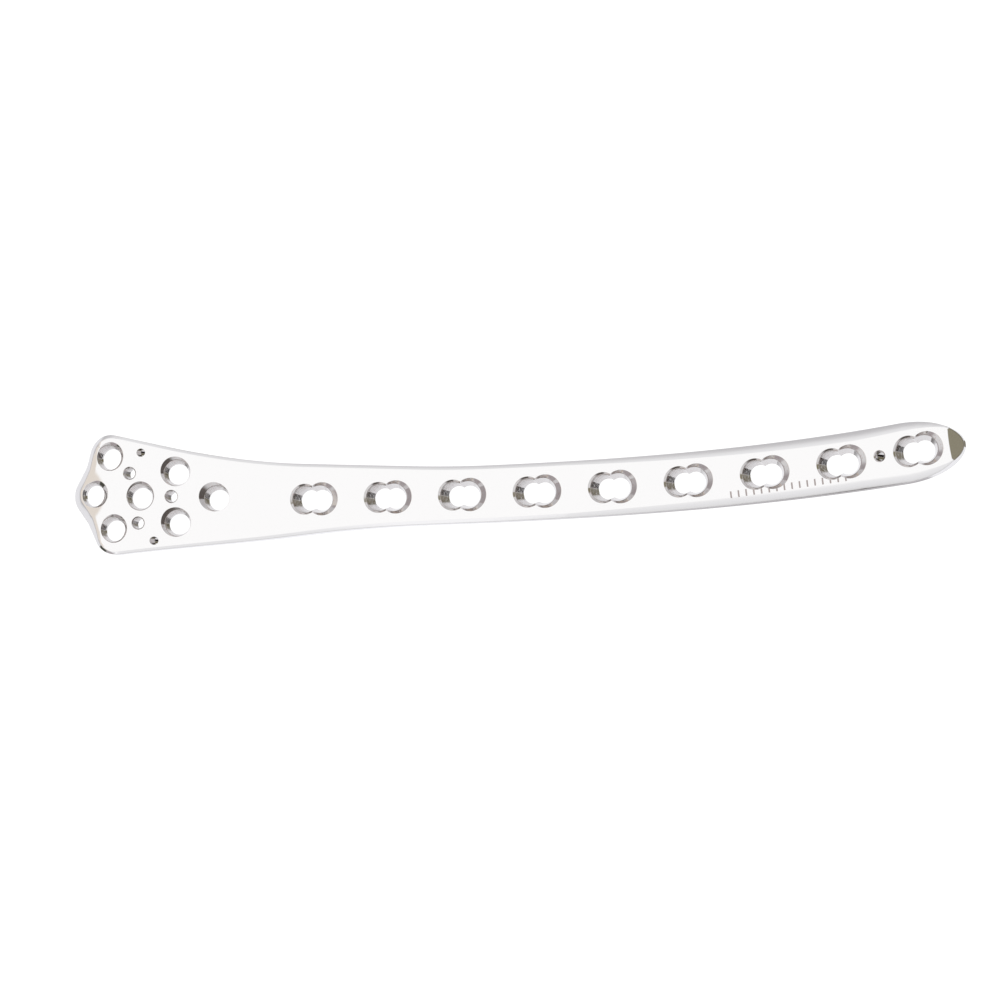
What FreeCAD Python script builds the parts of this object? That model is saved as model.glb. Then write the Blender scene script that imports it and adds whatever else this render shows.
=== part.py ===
import FreeCAD, Part
import math
import os

# Distal femoral locking plate, one solid of stainless steel.
# Frame, in millimetres: X runs along the shaft from the head (negative) to the tip (positive),
# Y across it, towards the hollow side of the bow, and Z up from the bone side to the outer side.
# The origin is on the axis of the first shaft hole, in the flat plane that the bone side rests on.

Vec = FreeCAD.Vector
UP = Vec(0, 0, 1)

# Shaft: its line of holes follows a bow that grows with the cube and the square of x.
SHAFT_HOLES = 9
HOLE_PITCH = 20.0
BOW_CUBIC = 1.86e-6
BOW_SQUARE = 3.7e-5
SHAFT_THICKNESS = 5.6
SIDE_START_X = 50.0
SIDE_END_X = 157.5
SIDE_SPANS = 8
TIP_LENGTH = 15.8

# The half width and the sideways shift of the shaft follow parabolas: peak value, square term, place.
HALF_WIDTH = (7.2, 6.2e-5, 80.0)
SIDE_SHIFT = (0.19, -5.0e-5, 95.0)

# Outline from the hollow side, round the three lobes of the head, to the other side:
# x, y and corner radius. The two end corners lie on the tangents of the shaft's sides.
NECK_CORNER_HOLLOW = (39.0, 340.0)
NECK_CORNER_ROUND = (16.0, 370.0)
HEAD_CORNERS = [
    (-18.0, 9.95, 200.0),
    (-54.4, 18.4, 6.3),
    (-56.85, 9.67, 8.0),
    (-62.15, 1.2, 5.0),
    (-57.0, -5.4, 10.0),
    (-51.98, -14.2, 6.5),
]

# Side profile: flat shaft, a flare that lifts the neck, and a crown that curls down over the condyle.
PROFILE_MAX_X = 185.0
PROFILE_MIN_X = -70.0
FLARE_ANGLE = 18.5
FLARE_X = -11.5
FLARE_RADIUS = 53.0
CROWN_X = -48.0
CROWN_RADIUS = 44.0
CROWN_THICKNESS = 4.3
UNDER_FLARE_ANGLE = 20.5
UNDER_FLARE_RADIUS = 50.0
SLAB_HALF_WIDTH = 30.0

# Bevels that follow the outline: width by place, and drop for each millimetre of width.
# On the shaft the place is the distance along the line of holes, and at the rim of the head it is y.
EDGE_SLOPE = 0.72
EDGE_WIDTH_BY_X = [
    (-40.0, 0.8),
    (30.0, 1.0),
    (70.0, 1.15),
    (110.0, 2.0),
    (146.0, 2.7),
    (160.0, 2.2),
    (164.0, 1.75),
    (167.0, 1.2),
    (170.5, 0.3),
]
EDGE_WIDTH_BY_Y = [
    (-15.0, 0.6),
    (-10.5, 1.1),
    (-8.3, 1.8),
    (-5.4, 2.45),
    (-1.0, 2.4),
    (1.7, 2.4),
    (4.0, 2.05),
    (8.5, 1.9),
    (10.2, 1.5),
    (14.0, 1.5),
    (18.0, 0.9),
]
RIM_SLOPE = 0.17
RIM_WIDTH_BY_Y = [
    (-13.5, 0.2),
    (-12.0, 1.2),
    (-9.0, 2.4),
    (-6.0, 3.0),
    (-3.0, 3.4),
    (7.0, 3.4),
    (9.7, 3.0),
    (12.0, 2.6),
    (15.5, 2.0),
    (17.0, 0.2),
]
RIM_FADE = (-46.0, -51.0)
UNDER_EDGE_WIDTH = 0.6
UNDER_EDGE_SLOPE = 1.0
BEVEL_OVERRUN = 1.0
CORNER_STEP = 2.0
SIDE_STEP = 7.0
CUTTER_HEIGHT = 12.0

# Shallow trough ground into the middle lobe round its hole.
TROUGH_X = -51.2
TROUGH_Y = 2.0
TROUGH_ANGLE = 14.0
TROUGH_RADIUS = 39.0

# Hollow-ground ramp across the tip.
RAMP_FROM_END = 3.25
RAMP_ANGLE = 45.0
RAMP_RADIUS = 66.0

# Combination hole, with x from the axis of its threaded half towards the tip and depth below the outer face.
# Threaded half: depth and radius, then the radius of the level land below. Sliding half: depth, x of
# the centre and radius.
THREADED_HALF = [(0.0, 4.0), (0.6, 3.4), (5.0, 2.65)]
LAND_RADIUS = 2.65
SLIDING_HALF = [(0.0, 4.7, 4.3), (1.0, 3.8, 3.5), (5.6, 2.95, 2.65)]

# Conical threaded holes of the head: place on the outer face, lean of the axis towards +X and +Y
# in degrees, and radius of the mouth.
HEAD_HOLES = {
    "corner_hole_hollow": (-50.2, 11.3, 4.5, 4.0, 3.7),
    "middle_lobe_hole": (-54.95, 1.8, 4.5, 2.0, 3.65),
    "corner_hole_round": (-49.1, -7.3, 5.0, 3.0, 3.7),
    "centre_hole": (-41.7, 1.0, 9.0, 3.0, 3.8),
    "upper_hole_hollow": (-32.4, 7.2, 11.5, 4.5, 3.8),
    "upper_hole_round": (-32.2, -5.8, 10.5, 3.0, 3.8),
    "neck_hole": (-22.7, 0.6, 8.0, 4.5, 3.7),
}
HEAD_MOUTH_DEPTH = 0.45
HEAD_LAND_RADIUS = 2.7
HEAD_LAND_LENGTH = 1.3

# Small holes: place on the outer face, lean towards +X and +Y, and radius of the bore.
GUIDE_MOUTH_WIDTH = 0.3
GUIDE_HOLES = {
    "guide_hole_hollow": (-44.5, 7.1, -3.0, 2.0, 1.45),
    "guide_hole_upper": (-33.8, 1.0, 0.0, 2.0, 1.45),
    "guide_hole_round": (-42.2, -5.8, 0.0, 2.0, 1.45),
}
WIRE_MOUTH_WIDTH = 0.4
COUNTERSUNK_WIRE_HOLES = {"wire_hole_shaft": (152.1, 7.5, -12.0, 0.0, 1.15)}
WIRE_HOLES = {
    "wire_hole_hollow": (-41.5, 12.4, -12.0, 0.0, 1.05),
    "wire_hole_round": (-38.1, -10.4, -12.0, 0.0, 1.05),
}
TOOL_REACH = 3.0


def interpolate(table, value):
    """Piecewise straight line through a table of (place, value) rows, level beyond its ends."""
    if value <= table[0][0]:
        return table[0][1]
    for (x0, y0), (x1, y1) in zip(table, table[1:]):
        if value <= x1:
            return y0 + (y1 - y0) * (value - x0) / (x1 - x0)
    return table[-1][1]


def centre_y(x):
    """Line of the shaft's holes, straight until the first hole and bowed after it."""
    x = max(x, 0.0)
    return BOW_CUBIC * x ** 3 + BOW_SQUARE * x ** 2


def centre_angle(x):
    """Direction of the line of holes, in radians from +X."""
    x = max(x, 0.0)
    return math.atan(3 * BOW_CUBIC * x ** 2 + 2 * BOW_SQUARE * x)


def hole_stations():
    """x of each shaft hole, one pitch apart along the bow."""
    stations = [0.0]
    for _ in range(SHAFT_HOLES - 1):
        x = stations[-1]
        stations.append(x + HOLE_PITCH * math.cos(centre_angle(x + HOLE_PITCH / 2)))
    return stations


def parabola(shape, x):
    """Value at x of a parabola given by its peak value, its square term and the place of its peak."""
    peak, square, place = shape
    return peak + square * (x - place) ** 2


def side_point(x, side):
    """Point of the shaft's side beside x: side is +1 on the hollow side and -1 on the round side."""
    offset = parabola(SIDE_SHIFT, x) + side * parabola(HALF_WIDTH, x)
    angle = centre_angle(x)
    return Vec(x - offset * math.sin(angle), centre_y(x) + offset * math.cos(angle), 0)


def crown_centre_z():
    """Height of the crown arc's centre, so that the arc meets the flare's slope."""
    flare = math.radians(FLARE_ANGLE)
    x = CROWN_X + CROWN_RADIUS * math.sin(flare)
    return SHAFT_THICKNESS + (FLARE_X - x) * math.tan(flare) - CROWN_RADIUS * math.cos(flare)


def outer_z(x):
    """Height of the outer face: flat shaft, bend, flare, crown."""
    flare = math.radians(FLARE_ANGLE)
    bend_start = FLARE_X + FLARE_RADIUS * math.tan(flare / 2)
    bend_end = bend_start - FLARE_RADIUS * math.sin(flare)
    crown_start = CROWN_X + CROWN_RADIUS * math.sin(flare)
    if x >= bend_start:
        return SHAFT_THICKNESS
    if x >= bend_end:
        return SHAFT_THICKNESS + FLARE_RADIUS - math.sqrt(FLARE_RADIUS ** 2 - (bend_start - x) ** 2)
    if x >= crown_start:
        return SHAFT_THICKNESS + (FLARE_X - x) * math.tan(flare)
    return crown_centre_z() + math.sqrt(CROWN_RADIUS ** 2 - (x - CROWN_X) ** 2)


def under_flare_x():
    """x where the slope under the flare meets the plane of the shaft's bone side."""
    angle = math.radians(UNDER_FLARE_ANGLE)
    radius = CROWN_RADIUS - CROWN_THICKNESS
    x = CROWN_X + radius * math.sin(angle)
    z = crown_centre_z() + radius * math.cos(angle)
    return x + z / math.tan(angle)


def under_z(x):
    """Height of the bone side, with the same four stretches as the outer face."""
    angle = math.radians(UNDER_FLARE_ANGLE)
    radius = CROWN_RADIUS - CROWN_THICKNESS
    corner = under_flare_x()
    bend_start = corner + UNDER_FLARE_RADIUS * math.tan(angle / 2)
    bend_end = bend_start - UNDER_FLARE_RADIUS * math.sin(angle)
    crown_start = CROWN_X + radius * math.sin(angle)
    if x >= bend_start:
        return 0.0
    if x >= bend_end:
        return UNDER_FLARE_RADIUS - math.sqrt(UNDER_FLARE_RADIUS ** 2 - (bend_start - x) ** 2)
    if x >= crown_start:
        return (corner - x) * math.tan(angle)
    return crown_centre_z() + math.sqrt(radius ** 2 - (x - CROWN_X) ** 2)


def rounded_path(start, corners, end):
    """Lines and tangent arcs from start to end round corners given as (point, radius)."""
    edges = []
    last = start
    points = [start] + [point for point, _ in corners] + [end]
    for index, (corner, radius) in enumerate(corners, start=1):
        back = (points[index - 1] - corner).normalize()
        ahead = (points[index + 1] - corner).normalize()
        half_angle = math.acos(max(-1.0, min(1.0, back.dot(ahead)))) / 2
        reach = radius / math.tan(half_angle)
        first = corner + back * reach
        second = corner + ahead * reach
        middle_way = (back + ahead).normalize()
        middle = corner + middle_way * (radius / math.sin(half_angle) - radius)
        if (first - last).Length > 1e-3:
            edges.append(Part.LineSegment(last, first).toShape())
        edges.append(Part.Arc(first, middle, second).toShape())
        last = second
    edges.append(Part.LineSegment(last, end).toShape())
    return edges


def side_spline(side):
    """Side of the shaft as one curve through points worked out from the bow."""
    step = (SIDE_END_X - SIDE_START_X) / SIDE_SPANS
    points = [side_point(SIDE_START_X + step * i, side) for i in range(SIDE_SPANS + 1)]
    start = centre_angle(SIDE_START_X)
    end = centre_angle(SIDE_END_X)
    curve = Part.BSplineCurve()
    curve.interpolate(
        Points=points,
        InitialTangent=Vec(math.cos(start), math.sin(start), 0),
        FinalTangent=Vec(math.cos(end), math.sin(end), 0),
    )
    return curve.toShape()


def neck_corner(corner, side):
    """Corner at a given x on the tangent of the shaft's side."""
    x, radius = corner
    start = side_point(SIDE_START_X, side)
    slope = math.tan(centre_angle(SIDE_START_X))
    return Vec(x, start.y + (x - start.x) * slope, 0), radius


def outline_wire():
    """Closed outline in the plane z = 0: head, two bowed sides and an elliptical tip."""
    corners = [neck_corner(NECK_CORNER_HOLLOW, 1)]
    corners += [(Vec(x, y, 0), radius) for x, y, radius in HEAD_CORNERS]
    corners.append(neck_corner(NECK_CORNER_ROUND, -1))
    head = rounded_path(side_point(SIDE_START_X, 1), corners, side_point(SIDE_START_X, -1))
    angle = centre_angle(SIDE_END_X)
    along = Vec(math.cos(angle), math.sin(angle), 0)
    hollow = side_point(SIDE_END_X, 1)
    rounded = side_point(SIDE_END_X, -1)
    middle = (hollow + rounded) / 2
    ellipse = Part.Ellipse(middle + along * TIP_LENGTH, hollow, middle)
    tip = Part.ArcOfEllipse(ellipse, -math.pi / 2, math.pi / 2).toShape()
    edges = head + [side_spline(-1), tip, side_spline(1)]
    return Part.Wire(Part.__sortEdges__(edges))


def arc_edge(centre, radius, start_angle, end_angle):
    """Arc in the XZ plane; angles from +X towards +Z."""
    angles = (start_angle, (start_angle + end_angle) / 2, end_angle)
    points = [centre + Vec(radius * math.cos(a), 0, radius * math.sin(a)) for a in angles]
    return Part.Arc(*points).toShape()


def profile_slab():
    """Slab between the bone side and the outer face, wider than the plate."""
    flare = math.radians(FLARE_ANGLE)
    under = math.radians(UNDER_FLARE_ANGLE)
    crown = Vec(CROWN_X, 0, crown_centre_z())
    outer_tip = Vec(PROFILE_MAX_X, 0, SHAFT_THICKNESS)
    outer_bend = (Vec(FLARE_X, 0, SHAFT_THICKNESS), FLARE_RADIUS)
    outer_start = crown + Vec(math.sin(flare), 0, math.cos(flare)) * CROWN_RADIUS
    outer = rounded_path(outer_tip, [outer_bend], outer_start)
    outer_end = math.acos((PROFILE_MIN_X - CROWN_X) / CROWN_RADIUS)
    outer.append(arc_edge(crown, CROWN_RADIUS, math.pi / 2 - flare, outer_end))
    under_radius = CROWN_RADIUS - CROWN_THICKNESS
    inner_tip = Vec(PROFILE_MAX_X, 0, 0)
    inner_bend = (Vec(under_flare_x(), 0, 0), UNDER_FLARE_RADIUS)
    inner_start = crown + Vec(math.sin(under), 0, math.cos(under)) * under_radius
    inner = rounded_path(inner_tip, [inner_bend], inner_start)
    inner_end = math.acos((PROFILE_MIN_X - CROWN_X) / under_radius)
    inner.append(arc_edge(crown, under_radius, math.pi / 2 - under, inner_end))
    tip_end = Part.LineSegment(inner_tip, outer_tip).toShape()
    inner_foot = Vec(PROFILE_MIN_X, 0, under_z(PROFILE_MIN_X))
    outer_foot = Vec(PROFILE_MIN_X, 0, outer_z(PROFILE_MIN_X))
    head_end = Part.LineSegment(inner_foot, outer_foot).toShape()
    wire = Part.Wire(Part.__sortEdges__(outer + inner + [tip_end, head_end]))
    face = Part.Face(wire)
    face.translate(Vec(0, -SLAB_HALF_WIDTH, 0))
    return face.extrude(Vec(0, 2 * SLAB_HALF_WIDTH, 0))


def rim_share(x):
    """0 on the neck and shaft, 1 at the rim of the head, with a smooth step between."""
    share = (RIM_FADE[0] - x) / (RIM_FADE[0] - RIM_FADE[1])
    share = max(0.0, min(1.0, share))
    return share * share * (3 - 2 * share)


def edge_width(point):
    """Width of the outer bevel beside a point of the outline."""
    share = rim_share(point.x)
    station = point.x + (point.y - centre_y(point.x)) * math.tan(centre_angle(point.x))
    return (1 - share) * interpolate(EDGE_WIDTH_BY_X, station) + share * interpolate(EDGE_WIDTH_BY_Y, point.y)


def rim_width(point):
    """Width of the shallow band between the crown and the bevel, on the rim of the head only."""
    return rim_share(point.x) * interpolate(RIM_WIDTH_BY_Y, point.y)


def rim_z(point, inward, distance):
    """Height at a distance inward of the outline, with the shallow band taken off."""
    width = rim_width(point)
    if distance >= width:
        return outer_face_z(point, inward, distance)
    edge = outer_face_z(point, inward, 0.0) - RIM_SLOPE * width
    return edge + (outer_face_z(point, inward, width) - edge) * distance / width


def trough_z(x, y):
    """Height of the trough: a cylinder whose lowest line falls towards the end of the head."""
    angle = math.radians(TROUGH_ANGLE)
    lowest = outer_z(TROUGH_X) + (x - TROUGH_X) * math.tan(angle)
    rise = TROUGH_RADIUS - math.sqrt(TROUGH_RADIUS ** 2 - (y - TROUGH_Y) ** 2)
    return lowest + rise / math.cos(angle)


def ground_z(point, inward, distance):
    """Height of the outer side before its edge is bevelled."""
    x = point.x + inward.x * distance
    y = point.y + inward.y * distance
    return min(rim_z(point, inward, distance), trough_z(x, y))


def outer_face_z(point, inward, distance):
    """Height of the outer face at a distance inward of the outline."""
    return outer_z(point.x + inward.x * distance)


def bone_side_z(point, inward, distance):
    """Height of the bone side at a distance inward of the outline."""
    return under_z(point.x + inward.x * distance)


def outline_samples(wire):
    """Points and inward normals along the outline, in order."""
    samples = []
    for edge in wire.OrderedEdges:
        step = CORNER_STEP if edge.Length < 3 * SIDE_STEP else SIDE_STEP
        count = max(2, math.ceil(edge.Length / step))
        for i in range(count):
            share = (i + 0.5) / count
            parameter = edge.getParameterByLength(edge.Length * share)
            point = edge.valueAt(parameter)
            tangent = edge.tangentAt(parameter)
            if edge.Orientation == "Reversed":
                tangent = tangent * -1
            samples.append((point, Vec(-tangent.y, tangent.x, 0)))
        if edge.Orientation == "Reversed":
            samples[-count:] = reversed(samples[-count:])
    area = sum(a.x * b.y - b.x * a.y for (a, _), (b, _) in zip(samples, samples[1:] + samples[:1]))
    if area < 0:
        samples = [(point, normal * -1) for point, normal in samples]
    return samples


def band_lines(samples, width_of, slope, face_z):
    """Points just inside and just outside a sloping band along the outline."""
    inner = []
    outer = []
    for point, inward in samples:
        width = width_of(point)
        foot_z = face_z(point, inward, width)
        edge_z = face_z(point, inward, 0.0) - slope * width
        rate = (foot_z - edge_z) / width if width > 0.01 else slope
        inner.append(point + inward * (width + BEVEL_OVERRUN) + UP * (foot_z + rate * BEVEL_OVERRUN))
        outer.append(point - inward * BEVEL_OVERRUN + UP * (edge_z - rate * BEVEL_OVERRUN))
    return inner, outer


def band_cutter(lines, closed, height):
    """Everything between a band and a height above it, or below it where the height is negative."""
    curves = []
    for points in lines:
        curve = Part.BSplineCurve()
        curve.interpolate(Points=points, PeriodicFlag=closed)
        curves.append(curve.toShape())
    return Part.makeRuledSurface(curves[0], curves[1]).extrude(UP * height)


def rim_cutter(samples):
    """The shallow band, only as far round the head as it has a width."""
    wide = [rim_width(point) > 0.0 for point, _ in samples]
    start = next(i for i in range(len(samples)) if wide[i] and not wide[i - 1])
    turned = samples[start:] + samples[:start]
    head = [sample for sample in turned if rim_width(sample[0]) > 0.0]
    lines = band_lines(head, rim_width, RIM_SLOPE, outer_face_z)
    return band_cutter(lines, False, CUTTER_HEIGHT)


def trough_cutter():
    """Cylinder lying along a slope that falls towards the end of the head."""
    angle = math.radians(TROUGH_ANGLE)
    along = Vec(-math.cos(angle), 0, -math.sin(angle))
    lift = Vec(-math.sin(angle), 0, math.cos(angle))
    lowest = Vec(TROUGH_X, TROUGH_Y, outer_z(TROUGH_X))
    start = lowest + lift * TROUGH_RADIUS - along * CUTTER_HEIGHT
    return Part.makeCylinder(TROUGH_RADIUS, 4 * CUTTER_HEIGHT, start, along)


def ramp_cutter():
    """Wide cylinder whose lowest line falls to the end of the tip."""
    angle = centre_angle(SIDE_END_X)
    fall_angle = math.radians(RAMP_ANGLE)
    along = Vec(math.cos(angle), math.sin(angle), 0)
    middle = (side_point(SIDE_END_X, 1) + side_point(SIDE_END_X, -1)) / 2
    top = middle + along * (TIP_LENGTH - RAMP_FROM_END) + UP * SHAFT_THICKNESS
    fall = along * math.cos(fall_angle) - UP * math.sin(fall_angle)
    lift = along * math.sin(fall_angle) + UP * math.cos(fall_angle)
    start = top + lift * RAMP_RADIUS - fall * CUTTER_HEIGHT / 2
    return Part.makeCylinder(RAMP_RADIUS, CUTTER_HEIGHT, start, fall)


def turned_solid(profile):
    """Solid turned about Z from (radius, height) pairs, lowest first."""
    points = [Vec(0, 0, profile[0][1])]
    points += [Vec(radius, 0, height) for radius, height in profile]
    points.append(Vec(0, 0, profile[-1][1]))
    points.append(points[0])
    return Part.Face(Part.makePolygon(points)).revolve(Vec(0, 0, 0), UP, 360)


def level_circle(x, radius, z):
    """Level circle about a point of the XZ plane."""
    return Part.Wire(Part.makeCircle(radius, Vec(x, 0, z), UP))


def combination_tool():
    """Threaded cone and sliding ramp of one shaft hole, on the axis of the threaded half."""
    top = SHAFT_THICKNESS
    profile = [(LAND_RADIUS, -TOOL_REACH)]
    profile += [(radius, top - depth) for depth, radius in reversed(THREADED_HALF)]
    profile.append((THREADED_HALF[0][1] + TOOL_REACH, top + TOOL_REACH))
    tool = turned_solid(profile)
    rings = [level_circle(x, radius, top - depth) for depth, x, radius in SLIDING_HALF]
    for upper, lower in zip(rings, rings[1:]):
        tool = tool.fuse(Part.makeLoft([upper, lower], True, True))
    _, x_top, radius_top = SLIDING_HALF[0]
    _, x_low, radius_low = SLIDING_HALF[-1]
    above = Part.makeCylinder(radius_top, TOOL_REACH, Vec(x_top, 0, top), UP)
    below = Part.makeCylinder(radius_low, TOOL_REACH, Vec(x_low, 0, 0), UP * -1)
    return tool.fuse([above, below])


def hole_axis(x, y, lean_x, lean_y):
    """Point on the outer face and unit axis pointing out of it."""
    axis = Vec(math.tan(math.radians(lean_x)), math.tan(math.radians(lean_y)), 1).normalize()
    return Vec(x, y, outer_z(x)), axis


def depth_along(point, axis):
    """Distance from the outer face to the bone side down a hole's axis."""
    low, high = 0.0, 3 * SHAFT_THICKNESS
    for _ in range(50):
        middle = (low + high) / 2
        foot = point - axis * middle
        if foot.z > under_z(foot.x):
            low = middle
        else:
            high = middle
    return low


def place_on_axis(shape, point, axis):
    """Put a shape made about Z at the origin onto a hole's axis."""
    shape.Placement = FreeCAD.Placement(point, FreeCAD.Rotation(UP, axis))
    return shape


def head_hole_tool(x, y, lean_x, lean_y, mouth_radius):
    """Countersunk mouth, thread cone and a short level land at the bone side."""
    point, axis = hole_axis(x, y, lean_x, lean_y)
    depth = depth_along(point, axis)
    throat = mouth_radius - HEAD_MOUTH_DEPTH
    profile = [
        (HEAD_LAND_RADIUS, -depth - TOOL_REACH),
        (HEAD_LAND_RADIUS, HEAD_LAND_LENGTH - depth),
        (throat, -HEAD_MOUTH_DEPTH),
        (mouth_radius + TOOL_REACH, TOOL_REACH),
    ]
    return place_on_axis(turned_solid(profile), point, axis)


def small_hole_tool(x, y, lean_x, lean_y, radius):
    """Straight bore through the plate."""
    point, axis = hole_axis(x, y, lean_x, lean_y)
    depth = depth_along(point, axis)
    return Part.makeCylinder(radius, depth + 2 * TOOL_REACH, point - axis * (depth + TOOL_REACH), axis)


def mouth_tool(x, y, radius, width):
    """Countersink square to the outer face: a cone of the bore's radius and the given width."""
    point = Vec(x, y, outer_z(x))
    slope = (outer_z(x + width) - outer_z(x - width)) / (2 * width)
    normal = Vec(-slope, 0, 1).normalize()
    reach = radius + width
    return Part.makeCone(0, 2 * reach, 2 * reach, point - normal * reach, normal)


def shaft_tools():
    """Combination holes on their stations, each turned with the bow."""
    tools = []
    for x in hole_stations():
        tool = combination_tool()
        tool.rotate(Vec(0, 0, 0), UP, math.degrees(centre_angle(x)))
        tool.translate(Vec(x, centre_y(x), 0))
        tools.append(tool)
    return tools


def small_tools():
    """Guide and wire holes, with a countersink where they have one."""
    tools = []
    for holes, width in ((GUIDE_HOLES, GUIDE_MOUTH_WIDTH), (COUNTERSUNK_WIRE_HOLES, WIRE_MOUTH_WIDTH)):
        for x, y, lean_x, lean_y, radius in holes.values():
            tools.append(small_hole_tool(x, y, lean_x, lean_y, radius))
            tools.append(mouth_tool(x, y, radius, width))
    tools += [small_hole_tool(*hole) for hole in WIRE_HOLES.values()]
    return tools


def plate():
    """The whole plate: slab cut to the outline, ground, bevelled and drilled."""
    wire = outline_wire()
    samples = outline_samples(wire)
    prism = Part.Face(wire).extrude(UP * 4 * CUTTER_HEIGHT)
    prism.translate(UP * -CUTTER_HEIGHT)
    body = profile_slab().common(prism)
    top_band = band_lines(samples, edge_width, EDGE_SLOPE, ground_z)
    body = body.cut(band_cutter(top_band, True, CUTTER_HEIGHT))
    under_band = band_lines(samples, lambda point: UNDER_EDGE_WIDTH, -UNDER_EDGE_SLOPE, bone_side_z)
    body = body.cut(band_cutter(under_band, True, -CUTTER_HEIGHT))
    body = body.cut(trough_cutter())
    body = body.cut(rim_cutter(samples))
    body = body.cut(ramp_cutter())
    tools = small_tools() + [head_hole_tool(*hole) for hole in HEAD_HOLES.values()] + shaft_tools()
    body = body.cut(tools)
    return body.Solids[0] if len(body.Solids) == 1 else body


os.makedirs("parts", exist_ok=True)
shape = plate()
shape.exportStep("parts/plate.step")
print(f"{len(shape.Solids)} solid, valid {shape.isValid()}, {len(shape.Faces)} faces, {shape.Volume:.0f} mm3")
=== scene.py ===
"""Bowed bone plate of polished implant steel, lying on a pale floor in a light tent.

The plate is one closed surface worked out from the same driving dimensions as its solid: the
outer face, the bone side, the bevels that follow the outline and the wall of every hole. The
hole walls carry the fine threads that the solid leaves out.
"""

from __future__ import annotations

import logging
import math
from dataclasses import dataclass, field
from enum import IntEnum
from typing import Callable, Sequence

import bpy
import numpy as np
from mathutils import Matrix, Vector
from mathutils.geometry import delaunay_2d_cdt

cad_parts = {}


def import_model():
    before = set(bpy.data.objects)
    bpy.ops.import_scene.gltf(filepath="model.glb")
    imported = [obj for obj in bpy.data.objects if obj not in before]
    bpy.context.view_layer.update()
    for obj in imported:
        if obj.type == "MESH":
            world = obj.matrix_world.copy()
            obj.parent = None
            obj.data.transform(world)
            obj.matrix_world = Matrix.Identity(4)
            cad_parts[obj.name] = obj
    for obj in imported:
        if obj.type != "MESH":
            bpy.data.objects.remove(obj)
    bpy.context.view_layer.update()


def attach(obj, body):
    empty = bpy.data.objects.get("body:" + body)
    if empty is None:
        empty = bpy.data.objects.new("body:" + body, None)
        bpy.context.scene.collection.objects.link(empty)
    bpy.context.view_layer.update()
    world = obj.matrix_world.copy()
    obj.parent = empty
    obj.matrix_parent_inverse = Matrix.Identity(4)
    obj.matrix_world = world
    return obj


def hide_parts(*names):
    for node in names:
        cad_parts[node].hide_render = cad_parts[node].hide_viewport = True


LOG = logging.getLogger("bone_plate")

METRES_PER_MM = 0.001
# How far above the outer face a surface lies where it is left out of the lowest of several.
OUT_OF_REACH = 1.0
# Points that are compared with the whole outline at once.
BLOCK = 2000
# How far from the outer face the searches along a hole's axis go, in mm.
NEAR_MOUTH = 2.0
ABOVE_MOUTH = 2.5
BELOW_BONE = 9.0
WHOLE_AXIS = 15.0
# Rounding of the bend between a cone and its land, in mm.
BEND = 0.02
# Half the distance over which slopes are taken, in mm.
REACH = 0.01
# Narrowest rim band that is ground, and the smallest width that is divided by, in mm.
NARROWEST_BAND = 0.01
SMALLEST_WIDTH = 0.001
# Distance below which the triangulation takes two points for one, in mm.
SAME_POINT = 1e-6

Array = np.ndarray
Table = Sequence[tuple[float, float]]
Parabola = tuple[float, float, float]
Corner = tuple[float, float, float]


def linear_colour(hex_code: str) -> tuple[float, float, float, float]:
    """Turn an sRGB colour into the linear values that shaders take.

    Args:
        hex_code: Six hexadecimal digits, such as "c8c6c4".

    Returns:
        Linear red, green and blue, and an alpha of 1.
    """
    values = [int(hex_code[start : start + 2], 16) / 255 for start in (0, 2, 4)]
    red, green, blue = [
        value / 12.92 if value <= 0.04045 else ((value + 0.055) / 1.055) ** 2.4 for value in values
    ]
    return red, green, blue, 1.0


def from_table(table: Table, values: Array) -> Array:
    """Piecewise straight line through (place, value) rows, level beyond its ends.

    Args:
        table: Rows in rising order of place.
        values: Places to read at.

    Returns:
        One value for each place.
    """
    places, heights = zip(*table)
    return np.interp(values, places, heights)


def parabola(shape: Parabola, x: Array) -> Array:
    """Value of a parabola given by its peak value, its square term and the place of its peak.

    Args:
        shape: Peak value, square term and place.
        x: Places to read at.

    Returns:
        One value for each place.
    """
    peak, square, place = shape
    return peak + square * (x - place) ** 2


def smooth_min(first: Array, second: Array, width: float) -> Array:
    """Lower of two heights, with the crease between them rounded off.

    Args:
        first: Heights of one surface.
        second: Heights of the other.
        width: Difference in height below which the two are blended.

    Returns:
        The blended lower surface.
    """
    gap = np.clip(width - np.abs(first - second), 0.0, None)
    return np.minimum(first, second) - gap**2 / (4 * width)


def smooth_max(first: Array, second: Array, width: float) -> Array:
    """Higher of two values, with the crease between them rounded off.

    Args:
        first: Values of one line or surface.
        second: Values of the other.
        width: Difference below which the two are blended.

    Returns:
        The blended upper values.
    """
    return -smooth_min(-first, -second, width)


def unit(vectors: Array) -> Array:
    """Scale vectors to length 1.

    Args:
        vectors: Any array whose last axis is a vector.

    Returns:
        Vectors of the same directions.
    """
    return vectors / np.linalg.norm(vectors, axis=-1, keepdims=True)


def smooth_step(share: Array) -> Array:
    """Smooth step from 0 to 1, level at both ends.

    Args:
        share: Values, of which those outside 0 to 1 are held at the ends.

    Returns:
        Values from 0 to 1.
    """
    share = np.clip(share, 0.0, 1.0)
    return share * share * (3 - 2 * share)


def window(values: Array, low: float, high: float, fade: float) -> Array:
    """1 between two ends, with a smooth step to 0 at each.

    Args:
        values: Places to read at.
        low: Lower end.
        high: Upper end.
        fade: Length of each step, inside the ends.

    Returns:
        Values from 0 to 1.
    """
    return smooth_step(np.minimum(values - low, high - values) / fade)


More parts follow.
